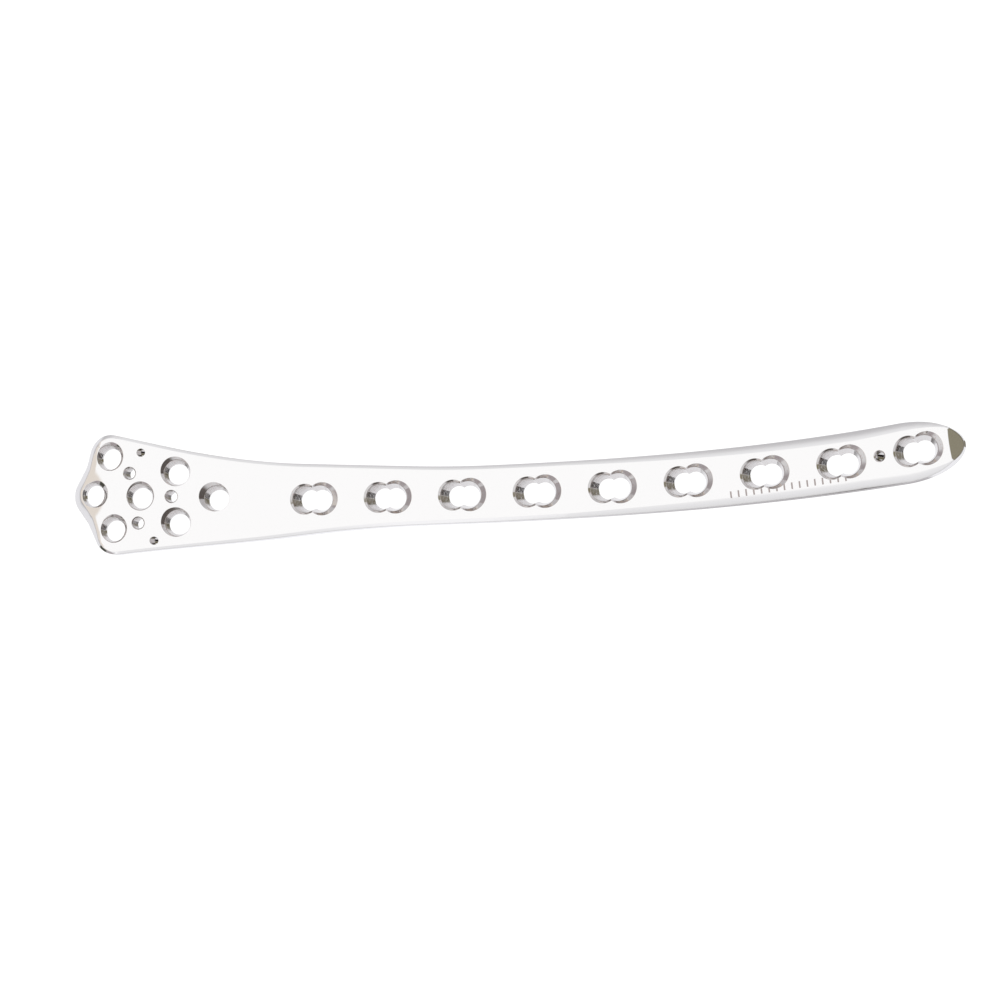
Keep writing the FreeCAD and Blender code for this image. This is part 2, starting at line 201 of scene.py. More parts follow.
def inside_polygon(polygon: Array, points: Array) -> Array:
    """Even-odd test of points against a closed polygon.

    Args:
        polygon: Corners, shape (n, 2).
        points: Places to test, shape (m, 2).

    Returns:
        True for each point inside.
    """
    inside = np.zeros(len(points), dtype=bool)
    low, high = polygon.min(axis=0), polygon.max(axis=0)
    near = np.all((points >= low) & (points <= high), axis=1)
    x, y = points[near, 0, None], points[near, 1, None]
    start, end = polygon, np.roll(polygon, -1, axis=0)
    spans = (start[:, 1] > y) != (end[:, 1] > y)
    rise = np.where(end[:, 1] == start[:, 1], 1.0, end[:, 1] - start[:, 1])
    crossing = start[:, 0] + (end[:, 0] - start[:, 0]) * (y - start[:, 1]) / rise
    inside[near] = np.sum(spans & (x < crossing), axis=1) % 2 == 1
    return inside


def bisect(function: Callable[[Array], Array], low: Array, high: Array, steps: int = 40) -> Array:
    """Root of a rising function in each of many intervals at once.

    Args:
        function: Takes one value per interval and returns one value per interval.
        low: Lower ends, where the function is negative.
        high: Upper ends, where it is positive.
        steps: How many times each interval is halved.

    Returns:
        One root per interval.
    """
    for _ in range(steps):
        middle = (low + high) / 2
        above = function(middle) > 0
        high = np.where(above, middle, high)
        low = np.where(above, low, middle)
    return (low + high) / 2


@dataclass(frozen=True)
class Bow:
    """Line of the shaft's holes: straight up to the first hole and bowed after it."""

    cubic: float = 1.86e-6
    square: float = 3.7e-5
    pitch: float = 20.0
    holes: int = 9

    def y(self, x: Array) -> Array:
        """y of the line in mm: a cubic and a square term of x."""
        x = np.maximum(x, 0.0)
        return self.cubic * x**3 + self.square * x**2

    def angle(self, x: Array) -> Array:
        """Direction of the line, in radians from +X."""
        x = np.maximum(x, 0.0)
        return np.arctan(3 * self.cubic * x**2 + 2 * self.square * x)

    def stations(self) -> list[float]:
        """Find the x of every shaft hole.

        Returns:
            One x per hole, a pitch apart along the line.
        """
        stations = [0.0]
        while len(stations) < self.holes:
            x = stations[-1]
            stations.append(x + self.pitch * math.cos(self.angle(x + self.pitch / 2)))
        return stations


@dataclass(frozen=True)
class FaceCurve:
    """Height of one face along the plate: level shaft, bend, straight flare and round crown."""

    level: float
    angle: float
    corner_x: float
    bend_radius: float
    crown_radius: float
    crown_x: float
    crown_z: float

    def z(self, x: Array) -> Array:
        """Height of the face.

        Args:
            x: Places along the plate in mm.

        Returns:
            Heights in mm.
        """
        bend_start = self.corner_x + self.bend_radius * math.tan(self.angle / 2)
        bend_end = bend_start - self.bend_radius * math.sin(self.angle)
        crown_start = self.crown_x + self.crown_radius * math.sin(self.angle)
        drop = np.sqrt(np.clip(self.bend_radius**2 - (bend_start - x) ** 2, 0.0, None))
        bend = self.level + self.bend_radius - drop
        flare = self.level + (self.corner_x - x) * math.tan(self.angle)
        crown = self.crown_z + np.sqrt(np.clip(self.crown_radius**2 - (x - self.crown_x) ** 2, 0.0, None))
        parts = [x >= bend_start, x >= bend_end, x >= crown_start]
        return np.select(parts, [self.level, bend, flare], crown)


@dataclass(frozen=True)
class SideProfile:
    """Both faces of the plate, seen from the side."""

    thickness: float = 5.6
    flare_angle: float = math.radians(18.5)
    flare_x: float = -11.5
    flare_radius: float = 53.0
    crown_x: float = -48.0
    crown_radius: float = 44.0
    crown_thickness: float = 4.3
    under_flare_angle: float = math.radians(20.5)
    under_flare_radius: float = 50.0

    @property
    def crown_z(self) -> float:
        """Height of the centre that both crown arcs share."""
        x = self.crown_x + self.crown_radius * math.sin(self.flare_angle)
        top = self.thickness + (self.flare_x - x) * math.tan(self.flare_angle)
        return top - self.crown_radius * math.cos(self.flare_angle)

    def outer(self) -> FaceCurve:
        """Build the outer face's curve."""
        return FaceCurve(
            self.thickness, self.flare_angle, self.flare_x, self.flare_radius,
            self.crown_radius, self.crown_x, self.crown_z,
        )

    def under(self) -> FaceCurve:
        """Build the bone side's curve.

        Returns:
            The curve that lies on the bone.
        """
        radius = self.crown_radius - self.crown_thickness
        angle = self.under_flare_angle
        corner = self.crown_x + radius * math.sin(angle)
        corner += (self.crown_z + radius * math.cos(angle)) / math.tan(angle)
        return FaceCurve(0.0, angle, corner, self.under_flare_radius, radius, self.crown_x, self.crown_z)


@dataclass(frozen=True)
class OutlineSize:
    """Driving dimensions of the outline, in mm.

    The shaft's half width and its shift from the line of holes are parabolas. A corner of the neck is
    its x and radius, on the tangent of the shaft's side. A corner of the head is its x, y and radius.
    """

    start_x: float = 50.0
    end_x: float = 157.5
    half_width: Parabola = (7.2, 6.2e-5, 80.0)
    shift: Parabola = (0.19, -5.0e-5, 95.0)
    tip_length: float = 15.8
    neck_hollow: tuple[float, float] = (39.0, 340.0)
    neck_round: tuple[float, float] = (16.0, 370.0)
    head: tuple[Corner, ...] = (
        (-18.0, 9.95, 200.0),
        (-54.4, 18.4, 6.3),
        (-56.85, 9.67, 8.0),
        (-62.15, 1.2, 5.0),
        (-57.0, -5.4, 10.0),
        (-51.98, -14.2, 6.5),
    )
    step: float = 0.6
    fine_step: float = 0.3
    fine_radius: float = 20.0
    tip_arc: float = 34.0


class Outline:
    """Closed outline of the plate seen from above, with its inward direction at every point."""

    def __init__(self, bow: Bow, size: OutlineSize) -> None:
        self.bow = bow
        self.size = size
        self.points = self._trace()
        ahead = np.roll(self.points, -1, axis=0) - np.roll(self.points, 1, axis=0)
        tangent = unit(ahead)
        self.inward = np.stack([-tangent[:, 1], tangent[:, 0]], axis=1)

    def side(self, x: Array, side: int) -> Array:
        """Points of the shaft's side beside its line of holes.

        Args:
            x: Places along the line.
            side: 1 for the hollow side of the bow, -1 for the round side.

        Returns:
            Points, shape (n, 2).
        """
        x = np.asarray(x, dtype=float)
        offset = parabola(self.size.shift, x) + side * parabola(self.size.half_width, x)
        angle = self.bow.angle(x)
        return np.stack([x - offset * np.sin(angle), self.bow.y(x) + offset * np.cos(angle)], axis=-1)

    def station(self) -> Array:
        """Distance of every outline point along the line of holes."""
        x, y = self.points.T
        return x + (y - self.bow.y(x)) * np.tan(self.bow.angle(x))

    def tip_frame(self) -> tuple[Array, Array, Array]:
        """Centre of the tip's ellipse and the directions along and across it.

        Returns:
            Centre, direction along and direction across.
        """
        middle = (self.side(self.size.end_x, 1) + self.side(self.size.end_x, -1)) / 2
        angle = float(self.bow.angle(self.size.end_x))
        along = np.array([math.cos(angle), math.sin(angle)])
        return middle, along, np.array([-along[1], along[0]])

    def nearest(self, points: Array) -> tuple[Array, Array]:
        """Find the place of the outline closest to each given point, and the distance to it.

        Args:
            points: Places inside the outline, shape (m, 2).

        Returns:
            Place along the outline, counted in outline points, and distance from it.
        """
        index = np.empty(len(points), dtype=int)
        for start in range(0, len(points), BLOCK):
            block = points[start : start + BLOCK]
            away = block[:, None, :] - self.points[None, :, :]
            index[start : start + BLOCK] = np.argmin(np.sum(away**2, axis=2), axis=1)
        place_before, gap_before = self._foot(points, index - 1)
        place_after, gap_after = self._foot(points, index)
        place = np.where(gap_before < gap_after, place_before, place_after)
        return place, np.minimum(gap_before, gap_after)

    def _foot(self, points: Array, index: Array) -> tuple[Array, Array]:
        """Find the foot of the square from each point to the stretch after an outline point.

        Args:
            points: Places, shape (m, 2).
            index: Outline points that the stretches start at, one per place.

        Returns:
            Place along the outline, counted in outline points, and distance from it.
        """
        start = self.points[index % len(self.points)]
        stretch = self.points[(index + 1) % len(self.points)] - start
        share = np.sum((points - start) * stretch, axis=1) / np.sum(stretch**2, axis=1)
        share = np.clip(share, 0.0, 1.0)
        away = points - start - stretch * share[:, None]
        return (index + share) % len(self.points), np.linalg.norm(away, axis=1)

    def at(self, values: Array, place: Array) -> Array:
        """Values held by the outline points, read between them.

        Args:
            values: One value or vector per outline point.
            place: Places along the outline, counted in outline points.

        Returns:
            One value or vector for each place.
        """
        low = np.floor(place).astype(int) % len(values)
        share = place - np.floor(place)
        if values.ndim > 1:
            share = share[..., None]
        return values[low] * (1 - share) + values[(low + 1) % len(values)] * share

    def _neck(self, corner: tuple[float, float], side: int) -> Corner:
        """Corner on the tangent of the shaft's side.

        Args:
            corner: Its x and radius.
            side: 1 for the hollow side of the bow, -1 for the round side.

        Returns:
            x, y and radius.
        """
        start = self.side(self.size.start_x, side)
        slope = math.tan(float(self.bow.angle(self.size.start_x)))
        return corner[0], float(start[1] + (corner[0] - start[0]) * slope), corner[1]

    def _straight(self, start: Array, end: Array) -> Array:
        """Points of a line at even steps, without its end.

        Args:
            start: First point.
            end: Last point.

        Returns:
            Points, shape (n, 2).
        """
        count = max(1, math.ceil(np.linalg.norm(end - start) / self.size.step))
        share = np.arange(count)[:, None] / count
        return start + (end - start) * share

    def _rounded(self, start: Array, corners: Sequence[Corner], end: Array) -> list[Array]:
        """Lines and tangent arcs from start to end round the corners.

        Args:
            start: First point.
            corners: x, y and radius of each corner in turn.
            end: Last point.

        Returns:
            Runs of points in turn: a line, an arc, and so on, ending in a line.
        """
        runs = []
        last = start
        places = [start] + [np.array(corner[:2]) for corner in corners] + [end]
        for index, (x, y, radius) in enumerate(corners, start=1):
            corner = np.array([x, y])
            back = unit(places[index - 1] - corner)
            ahead = unit(places[index + 1] - corner)
            half = math.acos(np.clip(back @ ahead, -1.0, 1.0)) / 2
            first = corner + back * radius / math.tan(half)
            second = corner + ahead * radius / math.tan(half)
            centre = corner + unit(back + ahead) * radius / math.sin(half)
            runs.append(self._straight(last, first))
            sweep = math.pi - 2 * half
            turn = np.sign(np.cross(first - centre, second - centre))
            step = self.size.fine_step if radius < self.size.fine_radius else self.size.step
            count = max(2, math.ceil(sweep * radius / step))
            angles = math.atan2(*(first - centre)[::-1]) + turn * sweep * np.arange(count) / count
            runs.append(centre + radius * np.stack([np.cos(angles), np.sin(angles)], axis=1))
            last = second
        runs.append(self._straight(last, end))
        return runs

    def _trace(self) -> Array:
        """Trace head, round side, tip and hollow side in turn, anticlockwise from above.

        Returns:
            Points, shape (n, 2).
        """
        size = self.size
        corners = [self._neck(size.neck_hollow, 1), *size.head, self._neck(size.neck_round, -1)]
        runs = self._rounded(self.side(size.start_x, 1), corners, self.side(size.start_x, -1))
        x = np.arange(size.start_x, size.end_x, size.step)
        runs.append(self.side(x, -1))
        middle, along, across = self.tip_frame()
        half = float(parabola(size.half_width, size.end_x))
        swing = np.linspace(-math.pi / 2, math.pi / 2, math.ceil(size.tip_arc / size.fine_step))[:, None]
        runs.append(middle + along * size.tip_length * np.cos(swing) + across * half * np.sin(swing))
        runs.append(self.side(x[::-1], 1)[:-1])
        return np.concatenate(runs)


@dataclass(frozen=True)
class Grinding:
    """Bevels, the trough at the middle lobe and the ramp at the tip, in mm."""

    edge_slope: float = 0.72
    edge_by_station: Table = (
        (-40.0, 0.8), (30.0, 1.0), (70.0, 1.15), (110.0, 2.0), (146.0, 2.7),
        (160.0, 2.2), (164.0, 1.75), (167.0, 1.2), (170.5, 0.3),
    )
    edge_by_y: Table = (
        (-15.0, 0.6), (-10.5, 1.1), (-8.3, 1.8), (-5.4, 2.45), (-1.0, 2.4),
        (1.7, 2.4), (4.0, 2.05), (8.5, 1.9), (10.2, 1.5), (14.0, 1.5), (18.0, 0.9),
    )
    rim_slope: float = 0.17
    rim_by_y: Table = (
        (-13.5, 0.2), (-12.0, 1.2), (-9.0, 2.4), (-6.0, 3.0), (-3.0, 3.4),
        (7.0, 3.4), (9.7, 3.0), (12.0, 2.6), (15.5, 2.0), (17.0, 0.2),
    )
    rim_fade: tuple[float, float] = (-46.0, -51.0)
    under_edge: float = 0.6
    trough_x: float = -51.2
    trough_y: float = 2.0
    trough_angle: float = math.radians(14.0)
    trough_radius: float = 39.0
    trough_reach: float = 2.0
    ramp_from_end: float = 3.25
    ramp_slope: float = 1.0
    ramp_radius: float = 66.0
    bulge: float = 0.02
    crease: float = 0.10
    soft_crease: float = 0.2


class OuterFace:
    """Height of the outer side: side profile, shallow rim band, trough, ramp and edge bevel."""

    def __init__(self, outline: Outline, profile: SideProfile, grinding: Grinding) -> None:
        self.outline = outline
        self.curve = profile.outer()
        self.cut = grinding
        x, y = outline.points.T
        fade_start, fade_end = grinding.rim_fade
        share = smooth_step((fade_start - x) / (fade_start - fade_end))
        by_station = from_table(grinding.edge_by_station, outline.station())
        self.edge_width = (1 - share) * by_station + share * from_table(grinding.edge_by_y, y)
        self.rim_width = share * from_table(grinding.rim_by_y, y)
        everyone = np.arange(len(x), dtype=float)
        self.foot_z = self._ground(everyone, self.edge_width, 0.0)
        self.edge_z = self._ground(everyone, np.zeros_like(x), 0.0) - grinding.edge_slope * self.edge_width

    def z(self, points: Array) -> Array:
        """Height of the outer side at places of shape (m, 2), in mm."""
        index, depth = self.outline.nearest(points)
        return self.band_z(index, depth, points)

    def band_z(self, index: Array, depth: Array, points: Array) -> Array:
        """Height at a depth inward of the outline.

        Args:
            index: Places along the outline, counted in outline points.
            depth: Distances inward of them.
            points: The places themselves, shape (..., 2).

        Returns:
            Heights in mm.
        """
        ground = self._ground(index, depth, self.cut.soft_crease, points)
        width = self.outline.at(self.edge_width, index)
        share = depth / width
        bulge = np.where(share < 1, self.cut.bulge * width**2 * 4 * share * (1 - share), 0.0)
        edge_z = self.outline.at(self.edge_z, index)
        bevel = edge_z + (self.outline.at(self.foot_z, index) - edge_z) * share + bulge
        edged = smooth_min(ground, bevel, self.cut.crease)
        return smooth_min(edged, self._ramp(points), self.cut.crease)

    def normals(self, points: Array, reach: float = REACH) -> Array:
        """Upward normals of the outer side.

        Args:
            points: Places in mm, shape (m, 2).
            reach: Half the distance over which the slope is taken.

        Returns:
            Unit normals, shape (m, 3).
        """
        slopes = [
            (self.z(points + step) - self.z(points - step)) / (2 * reach)
            for step in (np.array([reach, 0.0]), np.array([0.0, reach]))
        ]
        return unit(np.stack([-slopes[0], -slopes[1], np.ones(len(points))], axis=1))

    def _ramp(self, points: Array) -> Array:
        """Height of the hollow-ground cylinder that falls to the end of the tip.

        Args:
            points: Places in mm, shape (..., 2).

        Returns:
            Heights in mm: the line along its bottom plus the cylinder's rise beside it.
        """
        cut = self.cut
        middle, along, across = self.outline.tip_frame()
        start = self.outline.size.tip_length - cut.ramp_from_end
        inside = np.clip(cut.ramp_radius**2 - ((points - middle) @ across) ** 2, 0.0, None)
        rise = (cut.ramp_radius - np.sqrt(inside)) * math.hypot(1.0, cut.ramp_slope)
        return self.curve.level - cut.ramp_slope * ((points - middle) @ along - start) + rise

    def _trough(self, points: Array) -> Array:
        """Height of the cylinder whose lowest line falls towards the end of the head.

        Args:
            points: Places in mm, shape (..., 2).

        Returns:
            Heights in mm: the lowest line plus the cylinder's rise beside it.
        """
        cut = self.cut
        fall = (points[..., 0] - cut.trough_x) * math.tan(cut.trough_angle)
        lowest = self.curve.z(np.array(cut.trough_x)) + fall
        inside = np.clip(cut.trough_radius**2 - (points[..., 1] - cut.trough_y) ** 2, 0.0, None)
        return lowest + (cut.trough_radius - np.sqrt(inside)) / math.cos(cut.trough_angle)

    def _ground(self, index: Array, depth: Array, blend: float, points: Array | None = None) -> Array:
        """Height before the edge is bevelled: the lowest of crown, rim band and trough.

        Args:
            index: Places along the outline, counted in outline points.
            depth: Distances inward of them.
            blend: Rounding of the creases, where 0 keeps them sharp.
            points: The places themselves, or None where they lie straight inward.

        Returns:
            Heights in mm.
        """
        outline = self.outline
        start, inward = outline.at(outline.points, index), outline.at(outline.inward, index)
        if points is None:
            points = start + inward * depth[..., None]
        rim_width = outline.at(self.rim_width, index)
        width = np.maximum(rim_width, SMALLEST_WIDTH)
        crown = self.curve.z(points[..., 0])
        edge = self.curve.z(start[..., 0]) - self.cut.rim_slope * width
        foot = self.curve.z((start + inward * width[..., None])[..., 0])
        rim = edge + (foot - edge) * depth / width
        banded = (rim_width > NARROWEST_BAND) & (points[..., 0] < self.cut.rim_fade[0])
        rim = np.where(banded, rim, crown + OUT_OF_REACH)
        hollowed = points[..., 0] < self.cut.trough_x + self.cut.trough_reach
        trough = np.where(hollowed, self._trough(points), crown + OUT_OF_REACH)
        if blend == 0.0:
            return np.minimum(np.minimum(crown, rim), trough)
        return smooth_min(smooth_min(crown, rim, blend / 2), trough, blend)


class BoneFace:
    """Height of the bone side, with a narrow bevel at its edge."""

    def __init__(self, outline: Outline, profile: SideProfile, grinding: Grinding) -> None:
        self.outline = outline
        self.curve = profile.under()
        self.width = grinding.under_edge
        self.crease = grinding.crease

    def z(self, points: Array) -> Array:
        """Height of the bone side away from its edge, in mm."""
        return self.curve.z(points[..., 0])

    def band_z(self, index: Array, depth: Array, points: Array) -> Array:
        """Height at a depth inward of the outline.

        Args:
            index: Places along the outline, counted in outline points.
            depth: Distances inward of them.
            points: The places themselves.

        Returns:
            Heights in mm.
        """
        edge_point = self.outline.at(self.outline.points, index)
        foot_point = edge_point + self.outline.at(self.outline.inward, index) * self.width
        edge = self.curve.z(edge_point[..., 0]) + self.width
        bevel = edge + (self.curve.z(foot_point[..., 0]) - edge) * depth / self.width
        return smooth_max(self.z(points), bevel, self.crease)

    def normals(self, points: Array, reach: float = REACH) -> Array:
        """Downward normals of the bone side.

        Args:
            points: Places in mm, shape (m, 2).
            reach: Half the distance over which the slope is taken.

        Returns:
            Unit normals, shape (m, 3).
        """
        x = points[:, 0]
        slope = (self.curve.z(x + reach) - self.curve.z(x - reach)) / (2 * reach)
        return unit(np.stack([slope, np.zeros_like(slope), -np.ones_like(slope)], axis=1))


class Finish(IntEnum):
    """Material slots of the plate."""

    POLISHED = 0
    MACHINED = 1


class Shell:
    """Collects the points and triangles of one closed surface, with a normal at every corner."""

    def __init__(self) -> None:
        self.count = 0
        self.points: list[Array] = []
        self.triangles: list[Array] = []
        self.corners: list[Array] = []
        self.finishes: list[Array] = []
        self.softened: list[Array] = []

    def add_points(self, points: Array) -> Array:
        """Store points.

        Args:
            points: Places in mm, last axis of length 3.

        Returns:
            Their indices, in the shape of the given array without its last axis.
        """
        index = np.arange(self.count, self.count + points[..., 0].size).reshape(points.shape[:-1])
        self.points.append(points.reshape(-1, 3))
        self.count += index.size
        return index

    def add_triangles(self, triangles: Array, corners: Array, finish: Finish) -> None:
        """Store triangles, turned so that they face the way their normals point.

        Args:
            triangles: Point indices, shape (m, 3).
            corners: Normals, shape (m, 3, 3).
            finish: Material slot.
        """
        places = np.concatenate(self.points)[triangles]
        facing = np.cross(places[:, 1] - places[:, 0], places[:, 2] - places[:, 0])
        if np.sum(facing * corners.mean(axis=1)) < 0:
            triangles, corners = triangles[:, ::-1], corners[:, ::-1]
        self.triangles.append(triangles)
        self.corners.append(corners)
        self.finishes.append(np.full(len(triangles), int(finish)))

    def add_grid(self, index: Array, normals: Array, finish: Finish, closed: bool) -> None:
        """Store a grid of points as pairs of triangles.

        Args:
            index: Point indices, shape (rows, columns).
            normals: Normals, shape (rows, columns, 3).
            finish: Material slot.
            closed: Whether the last column joins the first.
        """
        if closed:
            index = np.concatenate([index, index[:, :1]], axis=1)
            normals = np.concatenate([normals, normals[:, :1]], axis=1)
        lower, upper = np.s_[:-1, :-1], np.s_[1:, 1:]
        left, right = np.s_[1:, :-1], np.s_[:-1, 1:]
        for corners in ((lower, left, upper), (lower, upper, right)):
            triangles = np.stack([index[corner].ravel() for corner in corners], axis=1)
            vectors = np.stack([normals[corner].reshape(-1, 3) for corner in corners], axis=1)
            self.add_triangles(triangles, vectors, finish)

    def soften(self, index: Array) -> None:
        """Mark points whose corners share one normal, so that the edge through them looks rounded."""
        self.softened.append(np.ravel(index))

    def build(self, name: str) -> bpy.types.Object:
        """Make the mesh object.

        Args:
            name: Name of the object.

        Returns:
            The object, at the origin, in metres.
        """
        points = np.concatenate(self.points)
        triangles = np.concatenate(self.triangles)
        corners = np.concatenate(self.corners)
        total = np.zeros_like(points)
        np.add.at(total, triangles.ravel(), corners.reshape(-1, 3))
        soft = np.zeros(len(points), dtype=bool)
        soft[np.concatenate(self.softened)] = True
        shared = soft[triangles]
        corners[shared] = unit(total[triangles[shared]])
        mesh = bpy.data.meshes.new(name)
        mesh.from_pydata((points * METRES_PER_MM).tolist(), [], triangles.tolist())
        mesh.polygons.foreach_set("material_index", np.concatenate(self.finishes))
        mesh.polygons.foreach_set("use_smooth", np.ones(len(triangles), dtype=bool))
        mesh.normals_split_custom_set(corners.reshape(-1, 3).tolist())
        mesh.update()
        LOG.info("%s: %d points, %d triangles", name, len(points), len(triangles))
        plate = bpy.data.objects.new(name, mesh)
        bpy.context.scene.collection.objects.link(plate)
        return plate


@dataclass(frozen=True)
class Thread:
    """Narrow helical grooves in a hole's wall, climbing clockwise as seen from above."""

    pitch: float
    depth: float

    def groove(self, along: Array, turn: Array) -> tuple[Array, Array]:
        """Radial offset of the grooves and its slope along the axis.

        Each groove is the cube of a raised cosine, so that most of the wall stays plain.

        Args:
            along: Distances along the axis in mm.
            turn: Angles round it in radians.

        Returns:
            Offset in mm and slope.
        """
        phase = 2 * math.pi * along / self.pitch + turn
        raised = (1 + np.cos(phase)) / 2
        slope = -1.5 * raised**2 * np.sin(phase) * 2 * math.pi / self.pitch
        return self.depth * raised**3, self.depth * slope


def leaning_axis(lean_x: float, lean_y: float) -> Array:
    """Direction out of a hole that leans from the upright.

    Args:
        lean_x: Lean towards +X in degrees.
        lean_y: Lean towards +Y in degrees.

    Returns:
        Unit vector.
    """
    return unit(np.array([math.tan(math.radians(lean_x)), math.tan(math.radians(lean_y)), 1.0]))


def spokes(axis: Array, columns: int) -> tuple[Array, Array]:
    """Directions square to an axis, evenly spaced round it.

    Args:
        axis: Unit vector.
        columns: How many.

    Returns:
        Angles in radians and unit vectors.
    """
    first = unit(np.cross(np.array([0.0, 1.0, 0.0]), axis))
    second = np.cross(axis, first)
    turn = np.arange(columns) * 2 * math.pi / columns
    return turn, np.cos(turn)[:, None] * first + np.sin(turn)[:, None] * second


@dataclass
class HoleWall:
    """Grid of a hole's wall from its outer rim down to its rim on the bone side."""

    points: Array
    normals: Array
    closed: bool = True


@dataclass(frozen=True)
class RoundHole:
    """Hole turned about a leaning axis: mouth, thread cone and land, or a plain bore."""

    x: float
    y: float
    lean_x: float
    lean_y: float
    mouth: float
    cone: bool = True
    mouth_depth: float = 0.45
    land_radius: float = 2.7
    land_length: float = 1.3
    lip: float = 0.12
    columns: int = 72
    rows: int = 50
    rim_share: float = 0.014
    thread: Thread = Thread(0.75, 0.07)
    thread_fade: float = 0.25
    threaded_land: float = 0.4

    def walls(self, outer: OuterFace, under: BoneFace) -> list[HoleWall]:
        """Build the wall between the two faces.

        Args:
            outer: Outer face.
            under: Bone side.

        Returns:
            One closed grid.
        """
        axis = leaning_axis(self.lean_x, self.lean_y)
        start = np.array([self.x, self.y, float(outer.curve.z(np.array(self.x)))])
        turn, spoke = spokes(axis, self.columns)
        depth = self._depth(start, axis, under)

        def place(height: Array) -> Array:
            return start + axis * height[..., None] + spoke * self._radius(height, depth)[0][..., None]

        def above(face: OuterFace | BoneFace, height: Array) -> Array:
            points = place(height)
            return points[:, 2] - face.z(points[:, :2])

        level = np.zeros(self.columns)
        top = bisect(lambda height: above(outer, height), level - NEAR_MOUTH, level + ABOVE_MOUTH)
        bottom = bisect(lambda height: above(under, height), level - BELOW_BONE, level)
        share = np.linspace(0.0, 1.0, self.rows)[:, None]
        share[1] = self.rim_share
        share[-2] = 1 - self.rim_share
        height = top + (bottom - top) * share
        radius, slope = self._radius(height, depth)
        if self.cone:
            ridge, ridge_slope = self.thread.groove(height, turn)
            thread_end = self.land_length * self.threaded_land - depth
            fade = window(height, thread_end, -self.mouth_depth, self.thread_fade)
            radius, slope = radius + ridge * fade, slope + ridge_slope * fade
        points = start + axis * height[..., None] + spoke * radius[..., None]
        normals = unit(axis * slope[..., None] - spoke)
        return [HoleWall(points, normals)]

    def _depth(self, start: Array, axis: Array, under: BoneFace) -> float:
        """Length of the axis between the faces.

        Args:
            start: Where the axis meets the outer face.
            axis: Unit vector out of the hole.
            under: Bone side.

        Returns:
            Length in mm.
        """

        def above(height: Array) -> Array:
            place = start + axis * height[:, None]
            return place[:, 2] - under.z(place[:, :2])

        return -float(bisect(above, np.array([-WHOLE_AXIS]), np.array([0.0]))[0])

    def _radius(self, height: Array, depth: float) -> tuple[Array, Array]:
        """Radius of the plain wall: the highest of land, cone and mouth, with rounded bends.

        Args:
            height: Distances along the axis from the outer face.
            depth: Length of the axis between the faces.

        Returns:
            Radius in mm and its slope along the axis.
        """
        if not self.cone:
            return np.full_like(height, self.mouth), np.zeros_like(height)
        land_top = self.land_length - depth
        throat = self.mouth - self.mouth_depth
        cone_slope = (throat - self.land_radius) / (-self.mouth_depth - land_top)

        def profile(place: Array) -> Array:
            cone = self.land_radius + (place - land_top) * cone_slope
            wall = smooth_max(cone, np.full_like(place, self.land_radius), BEND)
            return smooth_max(wall, self.mouth + place, self.lip)

        return profile(height), (profile(height + REACH) - profile(height - REACH)) / (2 * REACH)


@dataclass(frozen=True)
class CountersunkHole:
    """Small bore with a countersink square to the outer face."""

    x: float
    y: float
    lean_x: float
    lean_y: float
    radius: float
    width: float
    thread: Thread
    columns: int = 48
    rows: int = 34
    thread_gap: float = 0.3
    thread_fade: float = 0.2

    def walls(self, outer: OuterFace, under: BoneFace) -> list[HoleWall]:
        """Build the countersink and the bore below it.

        Args:
            outer: Outer face.
            under: Bone side.

        Returns:
            One closed grid.
        """
        axis = leaning_axis(self.lean_x, self.lean_y)
        centre = np.array([[self.x, self.y]])
        start = np.array([self.x, self.y, float(outer.curve.z(np.array(self.x)))])
        square = outer.normals(centre, reach=0.2)[0]
        turn, spoke = spokes(axis, self.columns)

        def bore(height: Array) -> Array:
            return start + axis * height[..., None] + spoke * self.radius

        def beyond_cone(height: Array) -> Array:
            away = bore(height) - start
            depth = away @ square
            across = away - depth[:, None] * square
            return depth + self.radius + self.width - np.linalg.norm(across, axis=1)

        def above_bone(height: Array) -> Array:
            points = bore(height)
            return points[:, 2] - under.z(points[:, :2])

        level = np.zeros(self.columns)
        throat = bisect(beyond_cone, level - NEAR_MOUTH, level + NEAR_MOUTH)
        bottom = bisect(above_bone, level - BELOW_BONE, level)
        edge = bore(throat)
        away = edge - start
        outward = unit(away - (away @ square)[:, None] * square)
        rim = start + outward * (self.radius + self.width)
        rim[:, 2] = outer.z(rim[:, :2])
        share = np.array([0.0, 0.25, 0.75])[:, None, None]
        mouth = rim + (edge - rim) * share
        mouth_normals = np.broadcast_to(unit(square - outward), mouth.shape)
        share = np.linspace(0.0, 1.0, self.rows)[:, None]
        height = throat + (bottom - throat) * share
        ridge, slope = self.thread.groove(height, turn)
        length = float(np.min(throat - bottom))
        fade = window(height - bottom, self.thread_gap, length, self.thread_fade)
        wall = bore(height) + spoke * (ridge * fade)[..., None]
        wall_normals = unit(axis * (slope * fade)[..., None] - spoke)
        points = np.concatenate([mouth, wall])
        return [HoleWall(points, np.concatenate([mouth_normals, wall_normals]))]


